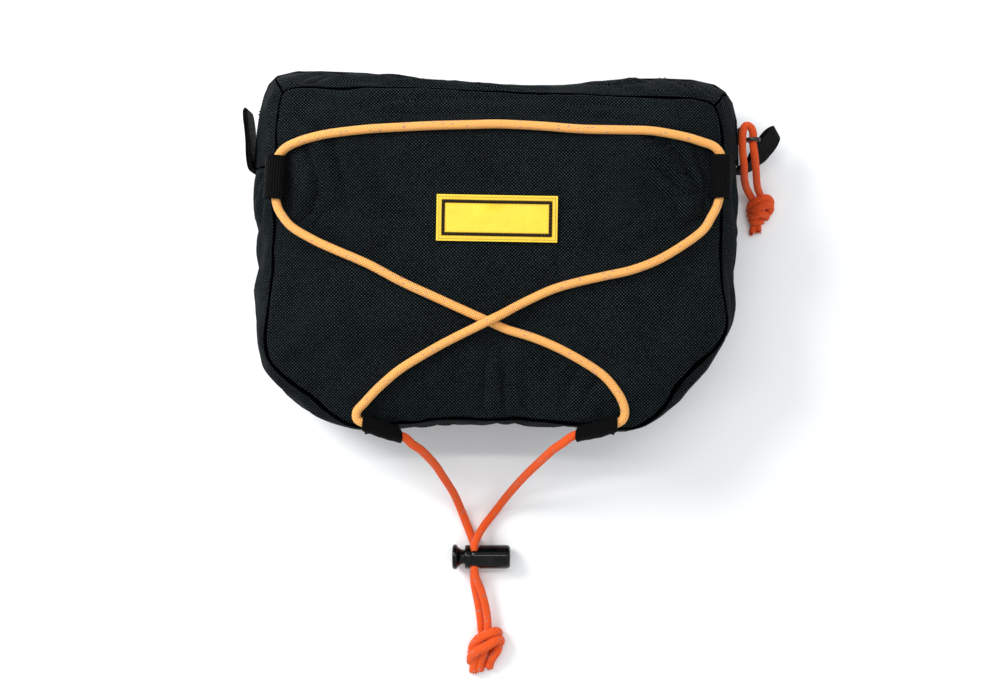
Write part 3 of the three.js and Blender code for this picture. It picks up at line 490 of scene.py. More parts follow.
LACING = millimetres((
    (-57.2, -85.3, 66.3), (-61.5, -83.7, 67.3), (-66.3, -81.9, 68.4), (-69.2, -80, 68.9),
    (-69, -76, 69.5), (-65.2, -71.8, 70.4), (-62.3, -68.6, 70.8), (-56.8, -63.1, 71.5),
    (-46.6, -54.7, 72.5), (-29.4, -44.4, 72.9), (-18.1, -38.5, 73.4), (-10.7, -34.9, 75.9),
    (-3.9, -31.5, 77.9), (3, -28.1, 76), (11.3, -23.6, 73.8), (26.5, -16.5, 73.5),
    (39.7, -12.6, 73.5), (53, -9.6, 73.3), (66.3, -6.6, 72.8), (79.7, -1.4, 71.7),
    (92.8, 6.4, 69.7), (101.9, 13.4, 68.5), (106.2, 20, 67.8), (108.8, 25, 67.7),
    (110.2, 30.5, 67.7), (110.7, 39.8, 67.7), (110.9, 47.5, 67.7), (110.4, 51.4, 67.8),
    (107.2, 54.8, 68.2), (101.6, 56.8, 68.9), (92.2, 59.3, 70.2), (76.8, 61.8, 71.5),
    (62, 62.4, 71.2), (41.9, 62.9, 70.8), (21.7, 64.5, 70.3), (1.5, 65.5, 70.1),
    (-12.8, 65.2, 70.3), (-29.5, 64.7, 70.8), (-46.7, 63.8, 71.3), (-63.4, 62.7, 71.9),
    (-80.6, 60.7, 72.1), (-90.5, 58.9, 71.2), (-98.2, 56.8, 69.8), (-104, 54.3, 68.6),
    (-107.5, 51, 67.9), (-108.9, 47.3, 67.7), (-109.3, 39.8, 67.7), (-109.6, 31.5, 67.7),
    (-109.2, 27, 67.7), (-107.1, 21.8, 67.9), (-101.4, 14.9, 68.7), (-90.9, 8.6, 69.9),
    (-80.7, 3.8, 71.2), (-63.3, -3.7, 72.9), (-46.5, -12.6, 73.4), (-29.4, -20.4, 73.5),
    (-12.7, -28, 73.2), (-3.9, -31.9, 72.9), (4.9, -35.8, 72.7), (18.2, -40, 72.9),
    (30.9, -45.4, 72.8), (44.2, -52.8, 72.4), (53.1, -59.2, 71.8), (59.2, -66.6, 71),
    (62, -71.8, 70.3), (63.1, -76.2, 69.6), (62.2, -80.2, 68.9), (58.8, -82.5, 68.2),
    (54.4, -84.1, 67.3), (50, -85.5, 66.3),
))
TAIL_LEFT = millimetres((
    (-56.9, -85.5, 66.2), (-52.6, -87.3, 64.7), (-48.5, -88.8, 61.8), (-45.5, -90.4, 59.8),
    (-42.9, -93.5, 56.5), (-38.7, -97, 51.5), (-35, -101.7, 45), (-31.8, -106.6, 37.5),
    (-29.1, -112.2, 29.5), (-26.3, -118, 21.5), (-23.4, -124.3, 13.5), (-20.9, -131.2, 7),
    (-18.8, -137.2, 3.4), (-16.7, -142.9, 2.4), (-14.4, -148.6, 3), (-12.7, -153.6, 4.2),
    (-12.4, -159.6, 4.4), (-12.5, -166, 4.3), (-12.8, -171.9, 3.4), (-12.3, -177, 2.6),
    (-10.3, -187, 2.4), (-9, -196.2, 2.6), (-8.8, -200, 2.9),
))
TAIL_RIGHT = millimetres((
    (49.7, -85.6, 65.9), (45, -87, 64.2), (40.4, -88.1, 61.8), (36.8, -89.9, 59.8),
    (32.8, -93.2, 57), (28.9, -96.3, 53), (25.3, -100.2, 47.5), (21.7, -104.4, 41),
    (17.2, -109.7, 33), (12.7, -115.4, 25), (9, -120.5, 18), (5.3, -125.7, 11.5),
    (1.5, -131.3, 6.5), (-2.3, -136.6, 4), (-6.2, -141.5, 4.3), (-9.4, -146.1, 6.3),
    (-11.5, -149.8, 8.3), (-12.5, -153.4, 9), (-12.4, -159.6, 9.1), (-12.4, -166.6, 9.1),
    (-11.3, -171.5, 8.6), (-9.1, -177, 7.6), (-7.3, -183.2, 6.8), (-5.9, -189.8, 6.3),
    (-5.3, -195.3, 6.4), (-5.2, -200, 6.6),
))
PULL_ARC = millimetres((
    (133.3, 63.5, 36.8), (133.4, 66.3, 37.4), (132.2, 69.3, 38.3), (129.6, 70.6, 39),
    (127.8, 68.2, 39.3), (127.5, 63.5, 38.9), (127.7, 58.5, 37.7), (128.4, 54, 36.4),
    (129, 50.8, 35.2), (129.9, 47.6, 31.5), (131.6, 44.4, 24), (134, 41.6, 16.5),
    (136.6, 39.2, 10.5), (139, 37, 6.6), (140.4, 35.2, 5.6),
))
PULL_SHORT = millimetres((
    (133.3, 63.1, 36.8), (133.6, 60, 36.6), (134.4, 56.5, 35.6), (135.4, 53, 33), (136.4, 49.5, 30),
    (137.7, 46.2, 25.2), (139.3, 43.2, 19), (141, 41, 13.4), (142.8, 39, 9.6), (144, 36.4, 7.8),
))


# Sizes and colours that a user would change

def length_property(name, text, default):
    return bpy.props.FloatProperty(
        name=name, description=text, default=default, unit="LENGTH")


def colour_property(name, text, default):
    return bpy.props.FloatVectorProperty(
        name=name, description=text, default=default, subtype="COLOR")


class BagSizes(bpy.types.PropertyGroup):
    """Sizes of the cords, the cloth and its folds"""
    cord_width: length_property("Elastic cord", "Diameter of the elastic cord", 0.0044)
    pull_width: length_property("Pull cord", "Diameter of the zip's pull cord", 0.004)
    weave_pitch: length_property("Weave", "Width of one yarn of the nylon", 0.00118)
    fold_depth: bpy.props.FloatProperty(
        name="Folds", description="How many times as deep as in their tables the folds are",
        default=2.5, min=0.0, max=4.0)
    crumple: length_property("Crumple", "Height of the small crumples", 0.0011)


class BagColours(bpy.types.PropertyGroup):
    """Colours of the cloth, the cords and the patch"""
    nylon_colour: colour_property("Nylon", "Colour of the bag's cloth", (0.0043, 0.0058, 0.0063))
    webbing_colour: colour_property(
        "Webbing", "Colour of the loops and tabs", (0.0013, 0.0013, 0.0014))
    # The cord on the front is the same cord as the tails, lighter and yellower as painted
    # highlight.
    lit_cord_colour: colour_property(
        "Elastic cord", "Colour of the cord on the front, lighter than its tails as painted highlight", (1.0, 0.54, 0.16))
    pull_colour: colour_property(
        "Pull cord", "Colour of the zip's pull cord and its knot", (1.0, 0.11, 0.012))
    patch_colour: colour_property("Patch", "Colour of the patch", (0.88, 0.6, 0.035))
    plastic_colour: colour_property(
        "Cord lock", "Colour of the cord lock", (0.002, 0.002, 0.0021))


class StageSettings(bpy.types.PropertyGroup):
    """The floor, the lights and the camera"""
    camera_height: length_property(
        "Camera height", "Height of the camera over the floor", 0.65)
    lens: bpy.props.FloatProperty(
        name="Lens", description="Focal length in millimetres on a 36 mm sensor", default=42.336)
    middle: bpy.props.FloatVectorProperty(
        name="Middle", description="The floor's point under the camera",
        default=(0.0015, -0.041), size=2, subtype="XYZ_LENGTH")
    floor_colour: colour_property("Floor", "Colour of the floor", (0.97, 0.97, 0.97))


FINISHES = {}


def looks():
    """The bag's materials, made once."""
    if FINISHES:
        return FINISHES
    scene = bpy.context.scene
    sizes, colours = scene.bag_sizes, scene.bag_colours
    girth = math.pi * sizes.cord_width
    pull_girth = math.pi * sizes.pull_width
    FINISHES.update(
        nylon=nylon_finish(sizes, colours),
        webbing=webbing_finish(colours),
        # The lacing's colour is the tails' cord made lighter and yellower as painted highlight.
        cord=braid_finish("bungee", colours.lit_cord_colour, (1.0, 0.27, 0.05), girth, True),
        tail=braid_finish("bungee_tail", (1.0, 0.125, 0.012), (0.8, 0.05, 0.006), girth, True),
        pull=braid_finish(
            "pull_cord", colours.pull_colour, (0.55, 0.04, 0.008), pull_girth, False),
        patch=patch_finish(colours),
        plastic=hard_finish("lock_plastic", colours.plastic_colour, 0.09, 0.2),
        metal=hard_finish("zip_metal", (0.012, 0.0125, 0.0135), 0.3, 0.3),
        tape=webbing_finish(colours, "zip_tape", 0.0007),
        teeth=thread_finish("zip_teeth", (0.003, 0.003, 0.0032), 0.04),
        thread=thread_finish("black_thread", (0.001, 0.001, 0.001), 0.3),
        channel=thread_finish("channel", (0.02, 0.008, 0.0012), 0.02),
        # a matte near-black finish for the tubes of painted shade in the seam grooves
        seam=thread_finish("painted_seam_shade", (0.0003, 0.0003, 0.0004), 0.0),
    )
    return FINISHES


# The lights: where each one is, its width and depth, all in metres, and its power in watts.
# They aim at the floor a little above the camera's middle.
LAMPS = {
    "key light": ((-0.75, 0.5, 0.75), 0.5, 0.5, 10.0),
    "fill light": ((0.8, -0.3, 1.1), 1.1, 1.1, 0.9),
    "strip light": ((0.0, 0.36, 1.2), 1.3, 0.07, 4.2),
}
SKY = {"Color": (0.93, 0.97, 1.0, 1), "Strength": 0.74}
AIM_UP = 0.03
FLOOR_HALF = 2.0


class BAG_OT_stage(bpy.types.Operator):
    """Makes the pale floor, the soft lights and the camera straight over the bag"""
    bl_idname = "bag.stage"
    bl_label = "Floor, lights and camera"

    def execute(self, context):
        scene = context.scene
        settings = scene.stage_settings
        x, y = settings.middle
        shape = bmesh.new()
        bmesh.ops.create_grid(shape, x_segments=1, y_segments=1, size=FLOOR_HALF)
        bmesh.ops.translate(shape, vec=(x, y, 0), verts=shape.verts[:])
        floor = in_scene("floor", shape)
        look = Finish("floor", Roughness=0.75, Specular_IOR_Level=0.2)
        pale = settings.floor_colour
        tint = look.mixed(look.noise(6), colour(pale, 0.985), colour(pale))
        floor.data.materials.append(look.done(Base_Color=tint))
        camera = bpy.data.cameras.new("camera")
        camera.lens = settings.lens
        camera.sensor_width = 36.0
        camera.clip_start = 0.01
        view = bpy.data.objects.new("camera", camera)
        view.location = (x, y, settings.camera_height)
        scene.collection.objects.link(view)
        scene.camera = view
        aim = Vector((x, y + AIM_UP, 0))
        for name, (spot, width, depth, power) in LAMPS.items():
            lamp = bpy.data.lights.new(name, "AREA")
            lamp.shape = "ELLIPSE" if width == depth else "RECTANGLE"
            lamp.size = width
            lamp.size_y = depth
            lamp.energy = power
            holder = bpy.data.objects.new(name, lamp)
            holder.location = spot
            way = aim - Vector(spot)
            holder.rotation_euler = way.to_track_quat("-Z", "Y").to_euler()
            scene.collection.objects.link(holder)
        world = bpy.data.worlds.new("studio")
        world.use_nodes = True
        for key, value in SKY.items():
            world.node_tree.nodes["Background"].inputs[key].default_value = value
        scene.world = world
        scene.view_settings.view_transform = "Standard"
        return {"FINISHED"}


CORD_STEP = 0.0011
CORD_SIDES = 14


def laid_cord(name, points, width, material, node):
    """A cord piece that stands for a CAD node, and its route."""
    route = smooth_route(points, CORD_STEP)
    piece = place(name, cord_shape(route, width / 2, CORD_SIDES), material)
    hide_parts(node)
    return piece, route


class BAG_OT_cords(bpy.types.Operator):
    """Makes the lacing, its two tails and the zip's pull cord"""
    bl_idname = "bag.cords"
    bl_label = "Cords"

    def execute(self, context):
        sizes = context.scene.bag_sizes
        found = looks()
        laid_cord("lacing", LACING, sizes.cord_width, found["cord"], "bungee_lacing")
        on_tails = ["lock_barrel", "lock_plunger"]
        on_tails += [f"cord_knot_{i + 1}" for i in range(len(BUNGEE_TURNS))]
        on_strands = [f"pull_knot_{i + 1}" for i in range(len(PULL_TURNS))]
        tails = (sizes.cord_width, found["tail"], "bungee", on_tails)
        strands = (sizes.pull_width, found["pull"], "pull_cord", on_strands)
        for name, points, node, (width, material, slot, others) in (
            ("tail_left", TAIL_LEFT, "bungee_tail_left", tails),
            ("tail_right", TAIL_RIGHT, "bungee_tail_right", tails),
            ("pull_strand_arc", PULL_ARC, "zip_pull_strand_arc", strands),
            ("pull_strand_short", PULL_SHORT, "zip_pull_strand_short", strands),
        ):
            piece, route = laid_cord(name, points, width, material, node)
        return {"FINISHED"}


# Folds in the cloth, in millimetres: the middle, the way that it runs, its half length and half
# width, and its depth. A negative depth is a ridge.
Fold = namedtuple("Fold", "at way long wide deep")

FRONT_FOLDS = (
    # beside the upper left loop
    ((-93, 60, 66), (0.75, -0.66, 0), 13, 4.5, 1.0),
    ((-84, 44, 68), (0.35, -0.94, 0), 16, 6, 1.5),
    ((-90, 22, 68), (-0.55, -0.83, 0), 13, 4, 1.3),
    ((-96, 33, 67), (0.1, -1, 0), 14, 5, -0.9),
    ((-84, 2, 68), (0.9, -0.44, 0), 22, 6, 1.0),
    # beside the upper right loop
    ((79, 61, 68), (0.93, -0.36, 0), 17, 3.6, 1.5),
    ((80, 49, 69), (0.8, -0.6, 0), 24, 5, -1.5),
    ((86, 35, 69), (0.75, -0.66, 0), 17, 4.2, 1.7),
    ((98, 44, 67), (0.4, -0.92, 0), 14, 4.0, 1.4),
    ((95, 22, 68), (-0.55, -0.83, 0), 14, 4.5, 1.0),
    ((70, 12, 70), (0.85, 0.5, 0), 24, 7, 0.8),
    # towards the lower corners and the bottom
    ((-1, -63, 70), (0.05, 1, 0), 17, 5, 1.4),
    ((8, -66, 70), (-0.1, 1, 0), 14, 4, -0.9),
    ((42, -64, 69), (0.45, 0.9, 0), 15, 5, 1.2),
    ((-38, -68, 69), (-0.4, 0.9, 0), 14, 5, 1.0),
    ((-96, -40, 66), (0.8, 0.55, 0), 20, 6, -0.9),
    ((93, -34, 66), (0.75, -0.6, 0), 22, 7, -1.0),
    # under the top seam
    ((-30, 76, 67), (1, 0.02, 0), 46, 4.5, 1.0),
    ((52, 73, 67), (1, -0.06, 0), 26, 4, 1.1),
    ((-74, 76, 66), (0.9, 0.3, 0), 18, 5, -0.7),
)
SIDE_FOLDS = (
    # left side, below the loop and down to the slanted corner
    ((-124, 24, 40), (0.35, 0.75, 0.55), 17, 5, 2.6),
    ((-122, 6, 36), (0.1, 0.95, -0.3), 20, 6, -1.6),
    ((-124, -14, 30), (0.1, 0.8, 0.6), 18, 5, 2.0),
    ((-120, 40, 50), (0.1, 0.6, 0.8), 11, 4, 1.6),
    ((-112, -58, 34), (0.7, -0.55, 0.4), 20, 5, 2.2),
    ((-96, -72, 44), (0.8, -0.6, 0.1), 22, 5, -1.5),
    # right side
    ((125, 32, 44), (0.1, 0.9, 0.4), 14, 4, 1.7),
    ((124, 8, 34), (0.05, 0.85, -0.5), 20, 6, 1.8),
    ((122, -18, 42), (0.1, 0.9, 0.4), 18, 5, -1.3),
    ((106, -54, 36), (0.7, 0.7, 0.2), 22, 5, 2.0),
    ((92, -70, 46), (0.75, 0.65, 0.1), 20, 5, -1.4),
    # bottom
    ((-28, -85, 34), (0.3, 0, 1), 18, 5, 1.8),
    ((6, -84, 30), (-0.2, 0, 1), 20, 6, 2.0),
    ((38, -85, 36), (0.35, 0, 1), 18, 5, 1.6),
)
TOP_FOLDS = (
    ((-38, 90, 52), (1, -0.05, 0.1), 22, 2.6, -1.6),
    ((-18, 89, 47), (1, -0.1, 0.25), 24, 2.6, 1.7),
    ((-52, 92, 44), (1, -0.05, -0.2), 18, 2.8, -1.5),
    ((8, 87, 50), (1, 0, 0.1), 20, 2.8, 1.2),
    ((60, 92, 50), (0.85, 0.3, 0.45), 12, 2.4, 2.2),
    ((71, 93, 46), (0.8, 0.1, -0.6), 12, 2.6, 1.9),
    ((66, 95, 40), (1, 0, 0.1), 14, 3, -0.9),
    ((-88, 96, 46), (0.6, 0.2, -0.75), 14, 4, 1.3),
    ((98, 92, 48), (0.5, -0.5, 0.7), 12, 3.5, 1.5),
    ((-60, 94, 16), (0.7, 0, 0.7), 16, 4, 1.5),
    ((30, 90, 14), (0.6, 0, -0.8), 16, 4, 1.5),
)

# A fold fades out beyond these shares of its half sizes, and has a low shoulder on each side.
FOLD_END = 2.2
FOLD_SIDE = 3.4
SHOULDER = 0.3
SHOULDER_AT = 1.9
SHOULDER_WIDTH = 0.8

# The crumples: turns per millimetre of their ridges and of the finer noise between them
RIDGES = 0.045
FINER = 0.11
FINER_SHIFT = Vector((7, 3, 1))


def fold_height(point, normal, folds):
    """How far a point of the cloth moves out along its normal, in millimetres."""
    height = 0.0
    for fold in folds:
        offset = point - fold.at
        along = offset.dot(fold.way)
        if abs(along) > fold.long * FOLD_END:
            continue
        offset -= fold.way * along
        offset -= normal * offset.dot(normal)
        across = offset.length / fold.wide
        if across > FOLD_SIDE:
            continue
        fade = math.exp(-(along / fold.long) ** 2)
        valley = math.exp(-across ** 2)
        shoulder = SHOULDER * math.exp(-((across - SHOULDER_AT) / SHOULDER_WIDTH) ** 2)
        height += fold.deep * fade * (shoulder - valley)
    return height


def rumpled(piece, folds, share, sizes, groove):
    """Moves a cloth panel's points into its folds, its small crumples and its seam grooves."""
    ready = [Fold(Vector(at), Vector(way).normalized(), *rest) for at, way, *rest in folds]
    vertices = piece.data.vertices
    for vert, normal in zip(vertices, [vert.normal.copy() for vert in vertices]):
        point = vert.co / MM
        height = fold_height(point, normal, ready) * sizes.fold_depth * share
        ridge = 1 - abs(noise.noise(point * RIDGES)) * 3
        fine = noise.noise(point * FINER + FINER_SHIFT)
        height += sizes.crumple / MM * (0.55 * max(-1.0, ridge) + 0.45 * fine - 0.35)
        vert.co += normal * height * MM
        if groove is not None:
            vert.co += groove(point) * MM


# Grooves under the seams, in millimetres: the heights of the cloth's edges and of the middle
# between them, and how far each groove reaches from its edge and draws the cloth in
FRONT_EDGE = 59.7
BACK_EDGE = 2.3
HALF_WAY = 30
FRONT_REACH, FRONT_PULL, FRONT_DROP = 5.5, 1.7, 0.7
BACK_REACH, BACK_PULL = 4.5, 1.2
CORNER_REACH, CORNER_PULL = 9, 1.9


def slanted(point, top=-28, top_blend=14, side=60, side_blend=12):
    """How much a point in millimetres belongs to a slanted lower corner, from 0 to 1."""
    below, beyond = (top - point.y) / top_blend, (abs(point.x) - side) / side_blend
    return min(1.0, max(0.0, below)) * min(1.0, max(0.0, beyond))


def seam_groove(point):
    """Draws the side cloth in under the seams, most at the slanted lower corners."""
    if point.z <= HALF_WAY:
        pull = BACK_PULL * max(0.0, 1 - (point.z - BACK_EDGE) / BACK_REACH) ** 2
        drop = 0.0
    else:
        off = FRONT_EDGE - point.z
        depth = max(0.0, 1 - off / FRONT_REACH) ** 2
        drop = FRONT_DROP * depth
        pull = FRONT_PULL * depth
        pull += CORNER_PULL * slanted(point) * max(0.0, 1 - off / CORNER_REACH)
    inward = Vector((-point.x, -point.y * 1.3, 0)).normalized()
    return inward * pull - UP * drop


class BAG_OT_body(bpy.types.Operator):
    """Makes the cloth panels, with their folds, crumples and seams"""
    bl_idname = "bag.body"
    bl_label = "Cloth panels"

    def execute(self, context):
        sizes = context.scene.bag_sizes
        found = looks()
        for name, node, folds, share, groove in (
            ("front_cloth", "front_panel", FRONT_FOLDS, 1.0, None),
            ("back_cloth", "back_panel", None, 0.0, None),
            ("side_cloth", "gusset", SIDE_FOLDS, 0.36, seam_groove),
            ("top_cloth_back", "zip_panel_back", TOP_FOLDS, 0.6, seam_groove),
            ("top_cloth_front", "zip_panel_front", TOP_FOLDS, 0.6, seam_groove),
        ):
            piece = node_copy(name, node, found["nylon"])
            rounder(piece, 2)
            finished(piece)
            if folds is not None:
                rumpled(piece, folds, share, sizes, groove)
            boxed_uv(piece)
        return {"FINISHED"}


# Short seams on the top band, from the front seam's corners outwards, in millimetres
CORNER_SEAMS = {
    "left": ((-107.4, 82.6, 60.2), (-109.8, 86.5, 57), (-112.2, 90.2, 52.5), (-114.2, 93.4, 46)),
    "right": ((110, 77.4, 60.2), (113.2, 81, 57), (116.2, 84.2, 52.5), (119.4, 87.4, 46)),
}


# Near-black tubes in the seams, painted shade of their grooves, in metres: the height that a
# panel's rim lies below, the tube's height and half width, and the step between its points
FRONT_SEAM_SHADE = (0.0612, 0.0602, 0.00115, 0.002)
BACK_SEAM_SHADE = (0.0023, 0.0022, 0.0009, 0.0025)
CORNER_WIDTH = 0.00055
CORNER_STEP = 0.0012
SHADE_DIP = 0.0012
SHADE_OUT = 0.0004
SHADE_LIFT = 0.00005
SHADE_SWELL = 0.75
SHADE_SIDES = 8
RIM_POINTS = 150


def thicker(point):
    """How much the painted seam shade swells at a place, from 0 to 1 at the slanted lower corners.
    """
    return slanted(point / MM, top=-22, top_blend=18, side=62, side_blend=14)


def rim_of(name, below):
    """A closed line round the outermost points that a piece has below a height."""
    rim = outermost(bpy.data.objects[name].data, lambda z: z < below, RIM_POINTS)
    rim = [(rim[i - 1] + rim[i] * 2 + rim[(i + 1) % len(rim)]) / 4 for i in range(len(rim))]
    return rim + rim[:1]


class BAG_OT_seams(bpy.types.Operator):
    """Lays near-black tubes as painted shade in the front and back seams and the top band's corner
    seams
    """
    bl_idname = "bag.seams"
    bl_label = "Seams"

    def execute(self, context):
        found = looks()

        def shade_tube(name, route, radius, swell=None):
            shape = cord_shape(route, radius, SHADE_SIDES, swell)
            place(name, shape, found["seam"])

        below, height, radius, step = FRONT_SEAM_SHADE
        front = smooth_route(rim_of("front_cloth", below), step)
        for point in front:
            point.z = height - SHADE_DIP * thicker(point)
            point += point.xy.normalized().to_3d() * SHADE_OUT
        last = len(front) - 1
        shade_tube("front_seam_shade", front, radius,
                lambda share: 1.0 + SHADE_SWELL * thicker(front[round(share * last)]))
        below, height, radius, step = BACK_SEAM_SHADE
        rim = [Vector((point.x, point.y, height)) for point in rim_of("back_cloth", below)]
        shade_tube("back_seam_shade", smooth_route(rim, step), radius)
        top = bpy.data.objects["top_cloth_front"]
        for side, line in CORNER_SEAMS.items():
            seam = smooth_route(millimetres(line), CORNER_STEP)
            for i, point in enumerate(seam):
                hit, spot, normal, _ = top.closest_point_on_mesh(point)
                if hit:
                    seam[i] = spot + normal * SHADE_LIFT
            shade_tube("corner_seam_shade_" + side, seam, CORNER_WIDTH)
        return {"FINISHED"}


# Webbing loops, in millimetres: half the tunnel's width, and for each station the seam foot and
# the middle of the tunnel
LOOP_BORE = 2.9
LOOP_STRAP = 1.1
LOOP_FOOT = 0.75
LOOPS = {
    "cord_loop_upper_left": (4.4, (
        ((-110.7, 28.7, 63.1), (-110.3, 28.7, 67.9)), ((-109.4, 50.2, 63.1), (-109, 50.2, 67.9)))),
    "cord_loop_upper_right": (4.4, (
        ((112.5, 50.6, 63.1), (111.1, 50.6, 67.9)), ((111.7, 29.1, 63.1), (110.3, 29.1, 67.9)))),
    "cord_loop_lower_left": (3.3, (
        ((-66.1, -87.4, 61), (-66.1, -82, 68.3)), ((-57.3, -85.7, 61), (-57.3, -85.3, 66.3)),
        ((-53.5, -84.2, 61), (-52.9, -87.1, 64.4)), ((-49.6, -82.8, 61), (-48.6, -88.9, 61.8)))),
    "cord_loop_lower_right": (3.3, (
        ((58.7, -87.7, 61), (59.1, -82.4, 68.3)), ((50.1, -85.8, 61), (50.2, -85.5, 66.3)),
        ((45.4, -84.1, 61), (44.9, -86.8, 64.4)), ((41.2, -82.7, 61), (40.4, -88.3, 61.8)))),
}


def loop_section(foot, middle, axis, half_width):
    """The strap's middle line at one station: up from the seam, round the cord and back."""
    rise = middle - foot
    height = rise.length
    rise.normalize()
    side = axis.cross(rise).normalized()
    round_high = LOOP_BORE + LOOP_STRAP / 2
    round_wide = half_width + LOOP_STRAP / 2
    root = foot + side * LOOP_FOOT
    start = math.pi - math.asin(LOOP_FOOT / round_wide)
    line = [root, root + rise * max(0.4, (height - round_high) / 2)]
    for i in range(25):
        angle = start * (1 - i / 12)
        out = rise * (height + round_high * math.cos(angle)) + side * (round_wide * math.sin(angle))
        line.append(foot + out)
    return line + [point - side * (2 * LOOP_FOOT) for point in (line[1], line[0])]


def strap_shape(sections, steps=1):
    """A strap that follows one line after another, with UVs in metres: u along the strap's
    own line and v across its width."""
    shape = bmesh.new()
    lines = []
    for before, after in zip(sections, sections[1:]):
        lines += [[a.lerp(b, i / steps) for a, b in zip(before, after)] for i in range(steps)]
    lines.append(sections[-1])
    row = [shape.verts.new(point * MM) for point in lines[0]]
    edges = [shape.edges.new(pair) for pair in zip(row, row[1:])]
    along = lengths_along(lines[0])
    place_of = {vert: Vector((length, 0)) * MM for vert, length in zip(row, along)}
    across = lengths_along([line[0] for line in lines])
    for line, width in zip(lines[1:], across[1:]):
        edges, row = extruded(shape, edges, row)
        for vert, point, length in zip(row, line, along):
            vert.co = point * MM
            place_of[vert] = Vector((length, width)) * MM
    layer = shape.loops.layers.uv.new("UVMap")
    for face in shape.faces:
        for loop in face.loops:
            loop[layer].uv = place_of[loop.vert]
    bmesh.ops.recalc_face_normals(shape, faces=shape.faces[:])
    return shape


def thickened(piece, thickness, round_edge):
    """Gives a strap's sheet its thickness, half to each side, and soft edges."""
    wall = piece.modifiers.new("wall", "SOLIDIFY")
    wall.thickness = thickness
    wall.offset = 0.0
    edging(piece, round_edge, 0.9)
    rounder(piece, 1)
    finished(piece)


class BAG_OT_loops(bpy.types.Operator):
    """Makes the four webbing loops that carry the elastic cord"""
    bl_idname = "bag.loops"
    bl_label = "Webbing loops"

    def execute(self, context):
        found = looks()
        for name, (half_width, stations) in LOOPS.items():
            stations = [(Vector(foot), Vector(middle)) for foot, middle in stations]
            axis = (stations[-1][1] - stations[0][1]).normalized()
            sections = [
                loop_section(foot, middle, axis, half_width) for foot, middle in stations]
            shape = strap_shape(sections, 12 // (len(sections) - 1))
            piece = place(name + "_strap", shape, found["webbing"])
            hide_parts(name)
            thickened(piece, (LOOP_STRAP - 0.15) * MM, 0.00025)
        return {"FINISHED"}


def turned_shape(profile, sides):
    """A round shape about the x axis, spun from (x, radius) pairs in millimetres."""
    shape = bmesh.new()
    points = [shape.verts.new(Vector((x, 0, radius)) * MM) for x, radius in profile]
    line = [shape.edges.new(pair) for pair in zip(points, points[1:])]
    bmesh.ops.spin(
        shape, geom=points + line, cent=(0, 0, 0), axis=(1, 0, 0), angle=math.tau, steps=sides,
        use_merge=True,
    )
    bmesh.ops.remove_doubles(shape, verts=shape.verts[:], dist=0.000005)
    bmesh.ops.recalc_face_normals(shape, faces=shape.faces[:])
    return shape


def holed(piece, low, high):
    """Cuts a box, given by two corners in millimetres, out of a piece."""
    shape = bmesh.new()
    size = [(b - a) * MM for a, b in zip(low, high)]
    middle = [(a + b) / 2 * MM for a, b in zip(low, high)]
    bmesh.ops.create_cube(
        shape, size=1.0, matrix=Matrix.Translation(middle) @ Matrix.Diagonal((*size, 1)))
    bmesh.ops.bevel(
        shape, geom=shape.edges[:], offset=min(size) * 0.3, segments=3, profile=0.5,
        affect="EDGES", offset_type="OFFSET", material=-1, clamp_overlap=True,
    )
    cutter = in_scene("cutter", shape)
    hole = piece.modifiers.new("hole", "BOOLEAN")
    hole.operation = "DIFFERENCE"
    hole.solver = "EXACT"
    hole.object = cutter
    finished(piece)
    bpy.data.objects.remove(cutter)


# The cord lock: its open end on its axis in metres, and in millimetres the hole for the two
# cords, and for each part where the hole starts, the sides of its round shape and its
# (x, radius) profile
LOCK_AT = Vector((-17.6, -159.6, 6.75)) * MM
HOLE_END = 7.8
HOLE_HALF = (9, 4.9)
LOCK_PARTS = {
    "barrel": (2.6, 56, (
        (20.5, 0), (20.5, 5.5), (0.4, 5.5), (0, 5.75), (0.05, 6.15), (0.5, 6.4), (3.0, 6.4),
        (3.25, 6.2), (3.45, 5.95), (3.7, 5.95), (3.95, 6.2), (4.3, 6.38), (10, 6.42),
        (18, 6.45), (22.6, 6.4), (23.6, 6.2), (24.3, 5.7), (24.6, 5.0), (24.6, 2.2),
        (24.3, 1.9), (24.3, 0))),
    "plunger": (-0.4, 48, (
        (-6.9, 0), (-6.9, 2.6), (-6.6, 3.0), (-6.6, 3.6), (-6.9, 4.2), (-6.9, 5.5),
        (-6.6, 6.3), (-6.0, 6.7), (-4.9, 6.7), (-4.4, 6.35), (-4.2, 5.8), (-3.6, 5.2),
        (-2.6, 4.4), (-1.6, 3.95), (-0.4, 3.9), (-0.3, 4.6), (0.1, 5.1), (0.5, 5.2),
        (9.4, 5.2), (9.7, 4.9), (9.7, 0))),
}


class BAG_OT_cord_lock(bpy.types.Operator):
    """Makes the cord lock's barrel and its sprung plunger"""
    bl_idname = "bag.cord_lock"
    bl_label = "Cord lock"

    def execute(self, context):
        found = looks()
        x, y, z = LOCK_AT / MM
        deep, high = HOLE_HALF
        for name, (hole_at, sides, profile) in LOCK_PARTS.items():
            shape = turned_shape(profile, sides)
            bmesh.ops.translate(shape, vec=LOCK_AT, verts=shape.verts[:])
            body = "plunger" if name == "plunger" else BODY
            piece = place("lock_" + name, shape, found["plastic"], body)
            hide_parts("cord_lock_" + name)
            holed(piece, (x + hole_at, y - deep, z - high), (x + HOLE_END, y + deep, z + high))
            edging(piece, 0.00018, 0.7)
            finished(piece, sharp=0.7)
        return {"FINISHED"}


